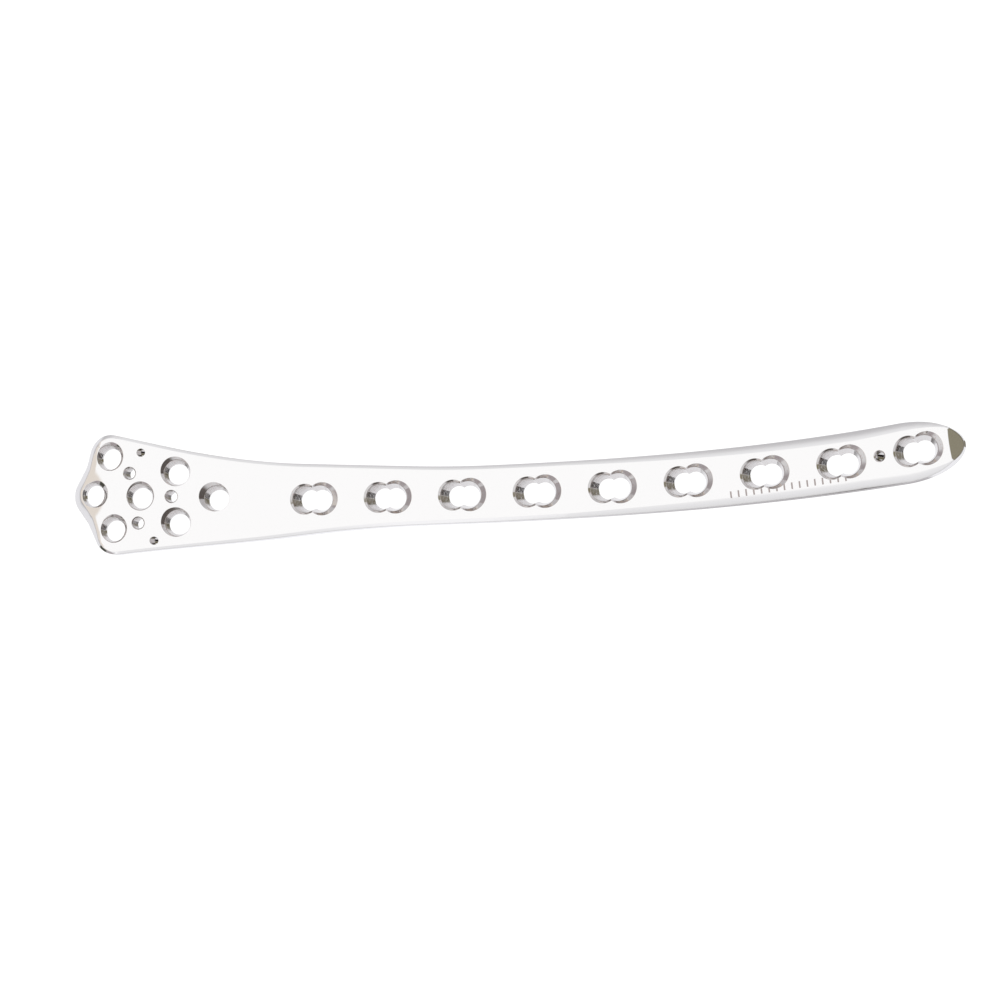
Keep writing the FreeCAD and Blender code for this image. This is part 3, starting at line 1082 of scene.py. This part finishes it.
@dataclass(frozen=True)
class CombinationHole:
    """Shaft hole: a threaded cone that runs into a sliding ramp, level circles at every depth."""

    station: float
    bow: Bow = Bow()
    threaded_radius: Table = ((0.0, 4.0), (0.6, 3.4), (5.0, 2.65), (5.6, 2.65))
    slide_centre: Table = ((0.0, 4.7), (1.0, 3.8), (5.6, 2.95))
    slide_radius: Table = ((0.0, 4.3), (1.0, 3.5), (5.6, 2.65))
    lip: float = 0.12
    thread: Thread = Thread(0.75, 0.07)
    thread_span: tuple[float, float] = (0.6, 5.3)
    thread_fade: float = 0.3
    cusp_fade: float = 0.08
    threaded_columns: int = 54
    sliding_columns: int = 40

    def walls(self, outer: OuterFace, under: BoneFace) -> list[HoleWall]:
        """Build the two halves, which share their first and last columns.

        Args:
            outer: Outer face.
            under: Bone side.

        Returns:
            The threaded half and the sliding half, both anticlockwise from above.
        """
        # the rows stand closest at the mouth and at the rim on the bone side
        depth = np.concatenate([
            [0.0, 0.05], np.linspace(0.2, 1.0, 11), np.linspace(1.1, 5.0, 34), [5.2, 5.4, 5.55, 5.6],
        ])[:, None]
        thickness = outer.curve.level
        round_radius = self._rounded(self.threaded_radius, depth)
        slide_radius = self._rounded(self.slide_radius, depth)
        centre = self._rounded(self.slide_centre, depth)
        cusp_x = (centre**2 + round_radius**2 - slide_radius**2) / (2 * centre)
        cusp_y = np.sqrt(round_radius**2 - cusp_x**2)
        share = np.linspace(0.0, 1.0, self.threaded_columns)
        first = np.arctan2(cusp_y, cusp_x)
        turn = first + (2 * math.pi - 2 * first) * share
        ridge, ridge_slope = self.thread.groove(-depth, turn)
        fade = window(depth, *self.thread_span, self.thread_fade) * window(share, 0.0, 1.0, self.cusp_fade)
        radius = round_radius + ridge * fade
        slope = self._slope(self.threaded_radius, depth) + ridge_slope * fade
        threaded = self._wall(depth, thickness, np.zeros_like(centre), radius, turn, slope)
        share = np.linspace(-1.0, 1.0, self.sliding_columns)
        turn = np.arctan2(cusp_y, cusp_x - centre) * share
        slope = self._slope(self.slide_radius, depth) + self._slope(self.slide_centre, depth) * np.cos(turn)
        radius = np.broadcast_to(slide_radius, turn.shape)
        sliding = self._wall(depth, thickness, centre, radius, turn, slope)
        for wall in (threaded, sliding):
            wall.points[0, :, 2] = outer.z(wall.points[0, :, :2])
            wall.points[-1, :, 2] = under.z(wall.points[-1, :, :2])
        return [threaded, sliding]

    def _rounded(self, table: Table, depth: Array) -> Array:
        """Value of a table whose first bend is rounded off.

        Args:
            table: Depth and value at the mouth, below it, and at the land.
            depth: Depths to read at.

        Returns:
            One value for each depth.
        """
        (start, first), (bend, second), (end, third) = table[:3]
        mouth = first + (depth - start) * (second - first) / (bend - start)
        wall = second + (depth - bend) * (third - second) / (end - bend)
        land = np.full_like(wall, table[-1][1])
        return smooth_max(smooth_max(wall, land, BEND), mouth, self.lip)

    def _slope(self, table: Table, depth: Array) -> Array:
        """Change of a table's value with height, at each depth."""
        return (self._rounded(table, depth - REACH) - self._rounded(table, depth + REACH)) / (2 * REACH)

    def _wall(
        self, depth: Array, thickness: float, centre: Array, radius: Array, turn: Array, slope: Array
    ) -> HoleWall:
        """Build arcs about a centre at every depth, turned with the bow.

        Args:
            depth: Depths below the outer face, shape (rows, 1).
            thickness: Height of the outer face.
            centre: Place of each centre along the line of holes.
            radius: Radius at every point.
            turn: Angle of every point.
            slope: Change of the radius with height at every point.

        Returns:
            An open grid.
        """
        angle = float(self.bow.angle(self.station))
        along = np.array([math.cos(angle), math.sin(angle), 0.0])
        across = np.array([-along[1], along[0], 0.0])
        up = np.array([0.0, 0.0, 1.0])
        spoke = np.cos(turn)[..., None] * along + np.sin(turn)[..., None] * across
        origin = np.array([self.station, float(self.bow.y(self.station)), 0.0])
        height = np.broadcast_to(thickness - depth, turn.shape)
        points = origin + centre[..., None] * along + spoke * radius[..., None] + height[..., None] * up
        normals = unit(slope[..., None] * up - spoke)
        return HoleWall(points, normals, closed=False)


Hole = RoundHole | CountersunkHole | CombinationHole


@dataclass(frozen=True)
class HolePlan:
    """Every hole of the plate: x, y, lean to +X, lean to +Y and radius, in mm and degrees."""

    head: tuple[tuple[float, ...], ...] = (
        (-50.2, 11.3, 4.5, 4.0, 3.7),
        (-54.95, 1.8, 4.5, 2.0, 3.65),
        (-49.1, -7.3, 5.0, 3.0, 3.7),
        (-41.7, 1.0, 9.0, 3.0, 3.8),
        (-32.4, 7.2, 11.5, 4.5, 3.8),
        (-32.2, -5.8, 10.5, 3.0, 3.8),
        (-22.7, 0.6, 8.0, 4.5, 3.7),
    )
    guide: tuple[tuple[float, ...], ...] = (
        (-44.5, 7.1, -3.0, 2.0, 1.45),
        (-33.8, 1.0, 0.0, 2.0, 1.45),
        (-42.2, -5.8, 0.0, 2.0, 1.45),
    )
    guide_thread: Thread = Thread(0.5, 0.06)
    guide_mouth: float = 0.3
    shaft_wire: tuple[float, ...] = (152.1, 7.5, -12.0, 0.0, 1.15)
    wire_mouth: float = 0.4
    head_wires: tuple[tuple[float, ...], ...] = (
        (-41.5, 12.4, -12.0, 0.0, 1.05),
        (-38.1, -10.4, -12.0, 0.0, 1.05),
    )

    def holes(self, bow: Bow) -> list[Hole]:
        """List the holes.

        Args:
            bow: Line of the shaft's holes.

        Returns:
            One object per hole.
        """
        smooth = Thread(1.0, 0.0)
        holes: list[Hole] = [RoundHole(*hole) for hole in self.head]
        holes += [CountersunkHole(*hole, self.guide_mouth, self.guide_thread) for hole in self.guide]
        holes.append(CountersunkHole(*self.shaft_wire, self.wire_mouth, smooth, rows=12))
        holes += [RoundHole(*hole, cone=False, columns=40, rows=10) for hole in self.head_wires]
        holes += [CombinationHole(x, bow) for x in bow.stations()]
        return holes


@dataclass
class PlateSurface:
    """Puts the faces, the outer wall and the walls of the holes together."""

    outline: Outline
    outer: OuterFace
    under: BoneFace
    plan: HolePlan
    shell: Shell = field(default_factory=Shell)
    edge_ring: float = 0.07
    crease_ring: float = 0.15
    band_reach: float = 0.004
    # start, end and step along x of the grids of loose points, and their span across the plate
    outer_grids: tuple[tuple[float, float, float], ...] = (
        (-62.0, -48.5, 0.4), (-48.5, -1.0, 0.9), (2.0, 172.0, 4.0),
    )
    under_grids: tuple[tuple[float, float, float], ...] = ((-62.0, 0.0, 1.0), (2.0, 172.0, 4.0))
    grid_span: tuple[float, float] = (-14.0, 19.0)
    # distances from the ramp's crease of the rows of points that carry it, half their length and their step
    ramp_rows: tuple[float, ...] = (-0.15, -0.05, 0.05, 0.15, 1.2)
    ramp_half: float = 7.0
    ramp_step: float = 0.3

    def build(self, name: str) -> bpy.types.Object:
        """Make the whole plate.

        Args:
            name: Name of the object.

        Returns:
            The plate's object.
        """
        rims = self._hole_walls()
        width = self.outer.edge_width[:, None]
        shares = np.array([0.0, 0.0, 0.33, 0.67, 1.0, 1.0, 1.0])
        extra = np.array([0.0, self.edge_ring, 0.0, 0.0, -self.crease_ring, 0.0, self.crease_ring])
        top = self._band(self.outer, width * shares + extra, up=True)
        rows = [0, 1, 4, 5, 6]
        depth = np.full_like(width, self.under.width) * shares[rows] + extra[rows]
        bottom = self._band(self.under, depth, up=False)
        self._outer_wall(top[:, 0], bottom[:, 0])
        self._face(self.outer, top[:, -1], [rim[0] for rim in rims], self._outer_fill())
        self._face(self.under, bottom[:, -1], [rim[1] for rim in rims], self._under_fill())
        return self.shell.build(name)

    def _hole_walls(self) -> list[tuple[Array, Array]]:
        """Add the wall of every hole.

        Returns:
            Each hole's rims on the outer face and on the bone side, as closed loops of indices.
        """
        rims = []
        for hole in self.plan.holes(self.outline.bow):
            walls = hole.walls(self.outer, self.under)
            if walls[0].closed:
                index = self.shell.add_points(walls[0].points)
                self.shell.add_grid(index, walls[0].normals, Finish.MACHINED, closed=True)
                rims.append((index[0], index[-1]))
                continue
            threaded, sliding = walls
            first = self.shell.add_points(threaded.points)
            inner = self.shell.add_points(sliding.points[:, 1:-1])
            second = np.concatenate([first[:, -1:], inner, first[:, :1]], axis=1)
            self.shell.add_grid(first, threaded.normals, Finish.MACHINED, closed=False)
            self.shell.add_grid(second, sliding.normals, Finish.MACHINED, closed=False)
            loops = np.concatenate([first, inner], axis=1)
            rims.append((loops[0], loops[-1]))
        return rims

    def _band(self, face: OuterFace | BoneFace, depth: Array, up: bool) -> Array:
        """Add rows of points that follow the outline, inward by the given depths.

        Args:
            face: Face that gives their height.
            depth: Distances inward, shape (outline points, rows).
            up: Whether the face looks up.

        Returns:
            Indices, shape (outline points, rows).
        """
        outline = self.outline
        index = np.broadcast_to(np.arange(len(depth), dtype=float)[:, None], depth.shape)

        def place(inward: Array) -> Array:
            flat = outline.points[:, None, :] + outline.inward[:, None, :] * inward[..., None]
            return np.concatenate([flat, face.band_z(index, inward, flat)[..., None]], axis=-1)

        points = place(depth)
        across = place(depth + self.band_reach) - place(depth - self.band_reach)
        along = np.roll(points, -1, axis=0) - np.roll(points, 1, axis=0)
        normals = unit(np.cross(along, across))
        if not up:
            normals = -normals
        stored = self.shell.add_points(points)
        self.shell.add_grid(stored.T, normals.transpose(1, 0, 2), Finish.POLISHED, closed=True)
        return stored

    def _outer_wall(self, top: Array, bottom: Array) -> None:
        """Join the outer edges of the two bands with an upright wall.

        Args:
            top: Indices of the outer band at the outline.
            bottom: Indices of the bone band there.
        """
        points = np.concatenate(self.shell.points)
        high, low = points[top], points[bottom]
        shares = np.array([0.04, 0.5, 0.96])[:, None, None]
        between = self.shell.add_points(high + (low - high) * shares)
        index = np.concatenate([top[None], between, bottom[None]])
        outward = -np.concatenate([self.outline.inward, np.zeros((len(top), 1))], axis=1)
        normals = np.broadcast_to(outward, (*index.shape, 3))
        self.shell.add_grid(index, normals, Finish.POLISHED, closed=True)
        self.shell.soften(np.concatenate([top, bottom]))

    def _outer_fill(self) -> Array:
        """Loose points that carry the curvature of the outer face and the ramp's crease.

        Returns:
            Points, shape (n, 2).
        """
        middle, along, across = self.outline.tip_frame()
        cut = self.outer.cut
        start = self.outline.size.tip_length - cut.ramp_from_end
        over = np.arange(-self.ramp_half, self.ramp_half, self.ramp_step)
        over, down = np.meshgrid(over, np.array(self.ramp_rows))
        rise = (cut.ramp_radius - np.sqrt(cut.ramp_radius**2 - over**2)) * math.hypot(1.0, cut.ramp_slope)
        down = down + start + rise / cut.ramp_slope
        crease = middle + down.ravel()[:, None] * along + over.ravel()[:, None] * across
        return np.concatenate([*(self._grid(*grid) for grid in self.outer_grids), crease])

    def _under_fill(self) -> Array:
        """Loose points that carry the curvature of the bone side."""
        return np.concatenate([self._grid(*grid) for grid in self.under_grids])

    def _grid(self, low: float, high: float, step: float) -> Array:
        """Square grid of points over a stretch of the plate."""
        x, y = np.meshgrid(np.arange(low, high, step), np.arange(*self.grid_span, step))
        return np.stack([x.ravel(), y.ravel()], axis=1)

    def _face(self, face: OuterFace | BoneFace, border: Array, rims: list[Array], fill: Array) -> None:
        """Triangulate a face between its border and its holes.

        Args:
            face: Face that gives heights and normals.
            border: Closed loop of indices.
            rims: Closed loop of indices for each hole.
            fill: Loose points, of which the ones inside are used.
        """
        stored = np.concatenate(self.shell.points)
        loops = [border, *rims]
        flats = [stored[loop][:, :2] for loop in loops]
        rings = []
        for flat in flats[1:]:
            ahead = unit(np.roll(flat, -1, axis=0) - np.roll(flat, 1, axis=0))
            rings.append(flat + np.stack([ahead[:, 1], -ahead[:, 0]], axis=1) * self.edge_ring)
        fill = fill[inside_polygon(flats[0], fill)]
        for flat in flats:
            gap = np.min(np.linalg.norm(fill[:, None] - flat[None], axis=2), axis=1)
            fill = fill[gap > 3 * self.edge_ring]
        for hole in flats[1:]:
            fill = fill[~inside_polygon(hole, fill)]
        fill = np.concatenate([*rings, fill])
        fill = np.concatenate([fill, face.z(fill)[:, None]], axis=1)
        index = np.concatenate([*loops, self.shell.add_points(fill)])
        flat = np.concatenate([*flats, fill[:, :2]])
        edges, start = [], 0
        for loop in loops:
            numbers = np.arange(start, start + len(loop))
            edges.append(np.stack([numbers, np.roll(numbers, -1)], axis=1))
            start += len(loop)
        corners = [Vector(place) for place in flat.tolist()]
        edges = np.concatenate(edges).tolist()
        _, _, triangles, sources, *_ = delaunay_2d_cdt(corners, edges, [], 0, SAME_POINT)
        triangles = np.array([numbers[0] for numbers in sources])[np.array(triangles)]
        centres = flat[triangles].mean(axis=1)
        wanted = inside_polygon(flats[0], centres)
        for hole in flats[1:]:
            wanted &= ~inside_polygon(hole, centres)
        triangles = triangles[wanted]
        places = flat[triangles]
        turn = np.cross(places[:, 1] - places[:, 0], places[:, 2] - places[:, 0])
        triangles[turn < 0] = triangles[turn < 0][:, ::-1]
        normals = face.normals(flat)
        self.shell.add_triangles(index[triangles], normals[triangles], Finish.POLISHED)
        for rim in rims:
            self.shell.soften(rim)


class Nodes:
    """A material's node tree, filled one node at a time."""

    def __init__(self, name: str) -> None:
        self.material = bpy.data.materials.new(name)
        self.material.use_nodes = True
        self.tree = self.material.node_tree
        self.tree.nodes.clear()

    def add(self, kind: str, settings: dict | None = None, **inputs: object) -> bpy.types.Node:
        """Add a node, with its settings and inputs.

        Args:
            kind: Blender's name of the node type.
            settings: Properties of the node itself.
            **inputs: Values or output sockets by input name, with "_" for a space. "_0" is input 0.

        Returns:
            The new node.
        """
        node = self.tree.nodes.new(kind)
        for key, value in (settings or {}).items():
            setattr(node, key, value)
        for key, value in inputs.items():
            place = int(key[1:]) if key[0] == "_" else key.replace("_", " ")
            if isinstance(value, bpy.types.NodeSocket):
                self.tree.links.new(value, node.inputs[place])
            else:
                node.inputs[place].default_value = value
        return node

    def number(self, operation: str, *values: object) -> bpy.types.NodeSocket:
        """Add a node that works out one number.

        Args:
            operation: Blender's name of the operation.
            *values: Numbers or sockets to work on, in order.

        Returns:
            The result's socket.
        """
        inputs = {f"_{place}": value for place, value in enumerate(values)}
        return self.add("ShaderNodeMath", {"operation": operation}, **inputs).outputs[0]


@dataclass(frozen=True)
class EtchedScale:
    """Row of plain etched ticks beside the line of holes, in metres."""

    start: tuple[float, float] = (0.1135, -0.0022)
    angle: float = math.radians(6.9)
    length: float = 0.032
    height: float = 0.0017
    spacing: float = 0.0020
    thickness: float = 0.00042

    def mask(self, nodes: Nodes, place: bpy.types.NodeSocket) -> bpy.types.NodeSocket:
        """Build a mask that is 1 on the ticks.

        Args:
            nodes: Tree to build in.
            place: Object coordinates.

        Returns:
            The mask's socket.
        """
        turned = nodes.add(
            "ShaderNodeMapping",
            {"vector_type": "TEXTURE"},
            Vector=place,
            Location=(*self.start, 0.0),
            Rotation=(0.0, 0.0, self.angle),
        )
        split = nodes.add("ShaderNodeSeparateXYZ", Vector=turned.outputs[0])
        along, across = split.outputs[0], split.outputs[1]
        on_tick = nodes.number("LESS_THAN", nodes.number("WRAP", along, self.spacing, 0.0), self.thickness)
        in_row = self._between(nodes, along, 0.0, self.length)
        in_height = self._between(nodes, across, 0.0, self.height)
        return nodes.number("MULTIPLY", nodes.number("MULTIPLY", on_tick, in_row), in_height)

    @staticmethod
    def _between(
        nodes: Nodes, value: bpy.types.NodeSocket, low: float, high: float
    ) -> bpy.types.NodeSocket:
        """Build a mask that is 1 where a value is between two limits.

        Args:
            nodes: Tree to build in.
            value: Socket of the value.
            low: Lower limit.
            high: Upper limit.

        Returns:
            The mask's socket.
        """
        under = nodes.number("LESS_THAN", value, high)
        over = nodes.number("GREATER_THAN", value, low)
        return nodes.number("MULTIPLY", under, over)


@dataclass(frozen=True)
class Patch:
    """Part of the surroundings with a colour of its own, in degrees."""

    azimuth: float
    half_azimuth: float
    elevation: float
    half_elevation: float
    fade: float
    colour: str


@dataclass(frozen=True)
class DomeSpec:
    """What the polished steel mirrors: softboxes above, a dim horizon and equipment beyond the tip."""

    radius: float = 20.0
    columns: int = 96
    rows: int = 49
    strength: float = 1.25
    pole: float = 89.9
    bands: tuple[tuple[float, str], ...] = (
        (-90.0, "e4e4e7"), (-12.0, "e0e0e3"), (-6.0, "cfcfd1"), (-3.0, "bcbbbd"),
        (0.0, "bcbbbd"), (4.0, "bfbec0"), (8.0, "c7c6c8"), (12.0, "d1d0d2"),
        (16.0, "dededf"), (22.0, "e3e3e5"), (30.0, "e9e9ea"), (40.0, "fafafa"),
    )
    patches: tuple[Patch, ...] = (
        # warm wall beyond the head and its dim foot
        Patch(178.0, 45.0, 36.0, 17.0, 10.0, "ded6cd"),
        Patch(176.0, 25.0, 7.0, 9.0, 3.0, "a39d9f"),
        # bright strip and dim panel that the near bevel mirrors
        Patch(-109.0, 5.0, 22.0, 7.0, 3.0, "f6f6f8"),
        Patch(-131.0, 20.0, 8.0, 8.0, 3.0, "a8a2a4"),
        # dim panels that the mouths of the holes mirror, and a dark stand beside the head
        Patch(-48.0, 63.0, 1.0, 12.0, 3.0, "5c5754"),
        Patch(-151.5, 10.5, -7.0, 11.0, 1.0, "4c4d46"),
        Patch(50.0, 42.0, -16.0, 9.0, 4.0, "7f7874"),
        # olive equipment beyond the tip, and an olive and a near-black patch far below the horizon that the
        # walls of the holes mirror
        Patch(15.0, 13.0, 13.0, 6.0, 2.0, "86816f"),
        Patch(30.0, 26.0, -56.0, 28.0, 2.0, "706b5a"),
        Patch(-17.0, 21.0, -48.0, 23.0, 2.0, "1c1816"),
        # shade that the walls of the holes mirror
        Patch(-160.0, 13.0, -51.0, 9.0, 3.0, "5a5654"),
        Patch(-166.0, 45.0, -79.0, 7.0, 3.0, "a8a5a8"),
    )


class Materials:
    """Materials of the plate and its surroundings."""

    def polished_steel(self) -> bpy.types.Material:
        """Mirror polished 316L stainless steel with an etched scale.

        Returns:
            The material.
        """
        nodes = Nodes("polished_316L_stainless_steel")
        place = nodes.add("ShaderNodeTexCoord").outputs["Object"]
        mask = EtchedScale().mask(nodes, place)
        # hand polishing leaves a faint ripple about a millimetre across
        ripple = nodes.add("ShaderNodeTexNoise", Vector=place, Scale=900.0, Detail=2.0)
        bump = nodes.add("ShaderNodeBump", Strength=0.04, Distance=0.0001, Height=ripple.outputs[0])
        steel, etched = linear_colour("e8e7e7"), linear_colour("a39a98")
        colour = nodes.add("ShaderNodeMix", {"data_type": "RGBA"}, _0=mask, _6=steel, _7=etched)
        rough = nodes.add("ShaderNodeMapRange", Value=mask, To_Min=0.09, To_Max=0.45)
        shader = nodes.add(
            "ShaderNodeBsdfPrincipled",
            Metallic=1.0,
            Base_Color=colour.outputs[2],
            Roughness=rough.outputs[0],
            Normal=bump.outputs[0],
        )
        nodes.add("ShaderNodeOutputMaterial", Surface=shader.outputs[0])
        return nodes.material

    def machined_steel(self) -> bpy.types.Material:
        """Fine turned 316L stainless steel of the hole walls.

        Returns:
            The material.
        """
        nodes = Nodes("machined_316L_stainless_steel")
        place = nodes.add("ShaderNodeTexCoord").outputs["Object"]
        # polishing paste left in the tool marks: faint warm specks about 0.4 mm across
        specks = nodes.add("ShaderNodeTexNoise", Vector=place, Scale=2600.0, Detail=1.0)
        share = nodes.add("ShaderNodeMapRange", Value=specks.outputs[0], From_Min=0.55, From_Max=0.75)
        clean, warm = linear_colour("dad8d7"), linear_colour("c9b9b6")
        colour = nodes.add("ShaderNodeMix", {"data_type": "RGBA"}, _0=share.outputs[0], _6=clean, _7=warm)
        shader = nodes.add(
            "ShaderNodeBsdfPrincipled", Metallic=1.0, Base_Color=colour.outputs[2], Roughness=0.08
        )
        nodes.add("ShaderNodeOutputMaterial", Surface=shader.outputs[0])
        return nodes.material

    def floor(self) -> bpy.types.Material:
        """White acrylic table, lit from below.

        Returns:
            The material.
        """
        nodes = Nodes("lit_white_acrylic")
        shader = nodes.add(
            "ShaderNodeBsdfPrincipled",
            Base_Color=linear_colour("6e6e6e"),
            Roughness=0.6,
            Emission_Color=linear_colour("ffffff"),
            Emission_Strength=0.95,
        )
        nodes.add("ShaderNodeOutputMaterial", Surface=shader.outputs[0])
        return nodes.material

    def surroundings(self, spec: DomeSpec) -> bpy.types.Material:
        """Glow of the room by direction, for reflections.

        Args:
            spec: Bands by elevation and patches laid over them.

        Returns:
            The material.
        """
        nodes = Nodes("studio_surroundings")
        place = nodes.add("ShaderNodeTexCoord").outputs["Object"]
        direction = nodes.add("ShaderNodeVectorMath", {"operation": "NORMALIZE"}, _0=place)
        split = nodes.add("ShaderNodeSeparateXYZ", Vector=direction.outputs[0])
        x, y, z = split.outputs
        elevation = nodes.number("DEGREES", nodes.number("ARCSINE", z))
        azimuth = nodes.number("DEGREES", nodes.number("ARCTAN2", y, x))
        level = nodes.add("ShaderNodeMapRange", Value=elevation, From_Min=-90.0, From_Max=90.0)
        ramp = nodes.add("ShaderNodeValToRGB", Fac=level.outputs[0])
        stops = ramp.color_ramp.elements
        for number, (place_up, hex_code) in enumerate(spec.bands):
            stop = stops[number] if number < 2 else stops.new(1.0)
            stop.color = linear_colour(hex_code)
            stop.position = (place_up + 90.0) / 180.0
        colour = ramp.outputs[0]
        for patch in spec.patches:
            across = self._near(nodes, azimuth, patch.azimuth, patch.half_azimuth, patch.fade)
            upright = self._near(nodes, elevation, patch.elevation, patch.half_elevation, patch.fade)
            share = nodes.number("MULTIPLY", across, upright)
            tint = linear_colour(patch.colour)
            mixed = nodes.add("ShaderNodeMix", {"data_type": "RGBA"}, _0=share, _6=colour, _7=tint)
            colour = mixed.outputs[2]
        shader = nodes.add("ShaderNodeEmission", Color=colour, Strength=spec.strength)
        nodes.add("ShaderNodeOutputMaterial", Surface=shader.outputs[0])
        return nodes.material

    @staticmethod
    def _near(
        nodes: Nodes, angle: bpy.types.NodeSocket, centre: float, half: float, fade: float
    ) -> bpy.types.NodeSocket:
        """Build a mask that is 1 within half a span of an angle and 0 beyond it, with a smooth step.

        Args:
            nodes: Tree to build in.
            angle: Socket of the angle in degrees.
            centre: Middle of the span.
            half: Half the span.
            fade: Length of the step, inside the span.

        Returns:
            The mask's socket.
        """
        away = nodes.number("SUBTRACT", angle, centre)
        distance = nodes.number("ABSOLUTE", nodes.number("WRAP", away, 180.0, -180.0))
        fades = nodes.add(
            "ShaderNodeMapRange",
            {"interpolation_type": "SMOOTHSTEP"},
            Value=distance,
            From_Min=half,
            From_Max=half - fade,
        )
        return fades.outputs[0]


class Studio:
    """Floor, reflected surroundings and overhead light."""

    floor_half: float = 6.0
    sky_strength: float = 1.1

    def __init__(self, materials: Materials, dome: DomeSpec) -> None:
        self.materials = materials
        self.dome = dome

    def build(self) -> None:
        """Make everything around the plate."""
        bpy.context.scene.view_settings.view_transform = "Standard"
        self._floor()
        self._dome()
        self._sky()

    def _object(
        self, name: str, points: Array, faces: Array, material: bpy.types.Material
    ) -> bpy.types.Object:
        """Make a stage object from points and faces.

        Args:
            name: Name of the object.
            points: Corners in metres.
            faces: Indices of the corners of each face.
            material: Its material.

        Returns:
            The object.
        """
        mesh = bpy.data.meshes.new(name)
        mesh.from_pydata(points.tolist(), [], faces.tolist())
        mesh.materials.append(material)
        thing = bpy.data.objects.new(name, mesh)
        bpy.context.scene.collection.objects.link(thing)
        return thing

    def _floor(self) -> None:
        """Pale floor under the plate; the polished steel mirrors the room instead of it."""
        half = self.floor_half
        points = np.array([[-half, -half, 0.0], [half, -half, 0.0], [half, half, 0.0], [-half, half, 0.0]])
        floor = self._object("floor", points, np.array([[0, 1, 2, 3]]), self.materials.floor())
        floor.visible_glossy = False

    def _dome(self) -> None:
        """Wide sphere that only the reflections see."""
        spec = self.dome
        turn, rise = np.meshgrid(
            np.radians(np.arange(spec.columns) * 360.0 / spec.columns),
            np.radians(np.linspace(-spec.pole, spec.pole, spec.rows)),
        )
        ball = np.stack([np.cos(rise) * np.cos(turn), np.cos(rise) * np.sin(turn), np.sin(rise)], axis=-1)
        index = np.arange(turn.size).reshape(turn.shape)
        shifted = np.roll(index, -1, axis=1)
        faces = np.stack([index[:-1], shifted[:-1], shifted[1:], index[1:]], axis=-1).reshape(-1, 4)
        points = spec.radius * ball.reshape(-1, 3)
        dome = self._object("surroundings", points, faces, self.materials.surroundings(spec))
        dome.visible_camera = False
        dome.visible_diffuse = False
        dome.visible_shadow = False

    def _sky(self) -> None:
        """Even white light for the floor."""
        world = bpy.data.worlds.new("overhead_softbox")
        world.use_nodes = True
        background = world.node_tree.nodes["Background"]
        background.inputs["Color"].default_value = linear_colour("ffffff")
        background.inputs["Strength"].default_value = self.sky_strength
        bpy.context.scene.world = world


@dataclass(frozen=True)
class PhotoCamera:
    """Long lens above the plate, leaning towards its tip; place in mm, turns in degrees."""

    distance: float = 1600.0
    lens: float = 223.6
    sensor: float = 36.0
    tilt: float = 17.07
    pitch: float = -3.58
    roll: float = 0.20
    shift: tuple[float, float] = (-50.34, 0.21)
    level: float = 5.6

    def build(self) -> None:
        """Make the camera and hand it to the scene."""
        turn = self._turn()
        place = turn.T @ np.array([-self.shift[0], -self.shift[1], self.distance])
        place[2] += self.level
        camera = bpy.data.objects.new("camera", bpy.data.cameras.new("camera"))
        camera.data.lens = self.lens
        camera.data.sensor_width = self.sensor
        camera.data.clip_start = 0.01
        pose = Matrix(turn.T.tolist()).to_4x4()
        pose.translation = Vector(place * METRES_PER_MM)
        camera.matrix_world = pose
        bpy.context.scene.collection.objects.link(camera)
        bpy.context.scene.camera = camera

    def _turn(self) -> Array:
        """Rotation from the plate's frame to the camera's: about y, then x, then z.

        Returns:
            Matrix, shape (3, 3).
        """
        turns = np.radians([self.tilt, self.pitch, self.roll])
        (cos_y, cos_x, cos_z), (sin_y, sin_x, sin_z) = np.cos(turns), np.sin(turns)
        about_y = np.array([[cos_y, 0, -sin_y], [0, 1, 0], [sin_y, 0, cos_y]])
        about_x = np.array([[1, 0, 0], [0, cos_x, -sin_x], [0, sin_x, cos_x]])
        about_z = np.array([[cos_z, -sin_z, 0], [sin_z, cos_z, 0], [0, 0, 1]])
        return about_z @ about_x @ about_y


def main() -> None:
    """Build the plate, its surroundings and the camera."""
    logging.basicConfig(level=logging.INFO, format="%(name)s: %(message)s")
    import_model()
    bow = Bow()
    outline = Outline(bow, OutlineSize())
    profile, grinding = SideProfile(), Grinding()
    outer = OuterFace(outline, profile, grinding)
    under = BoneFace(outline, profile, grinding)
    plate = PlateSurface(outline, outer, under, HolePlan()).build("polished_plate")
    materials = Materials()
    plate.data.materials.append(materials.polished_steel())
    plate.data.materials.append(materials.machined_steel())
    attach(plate, "root")
    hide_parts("plate")
    Studio(materials, DomeSpec()).build()
    PhotoCamera().build()


if __name__ == "__main__":
    main()
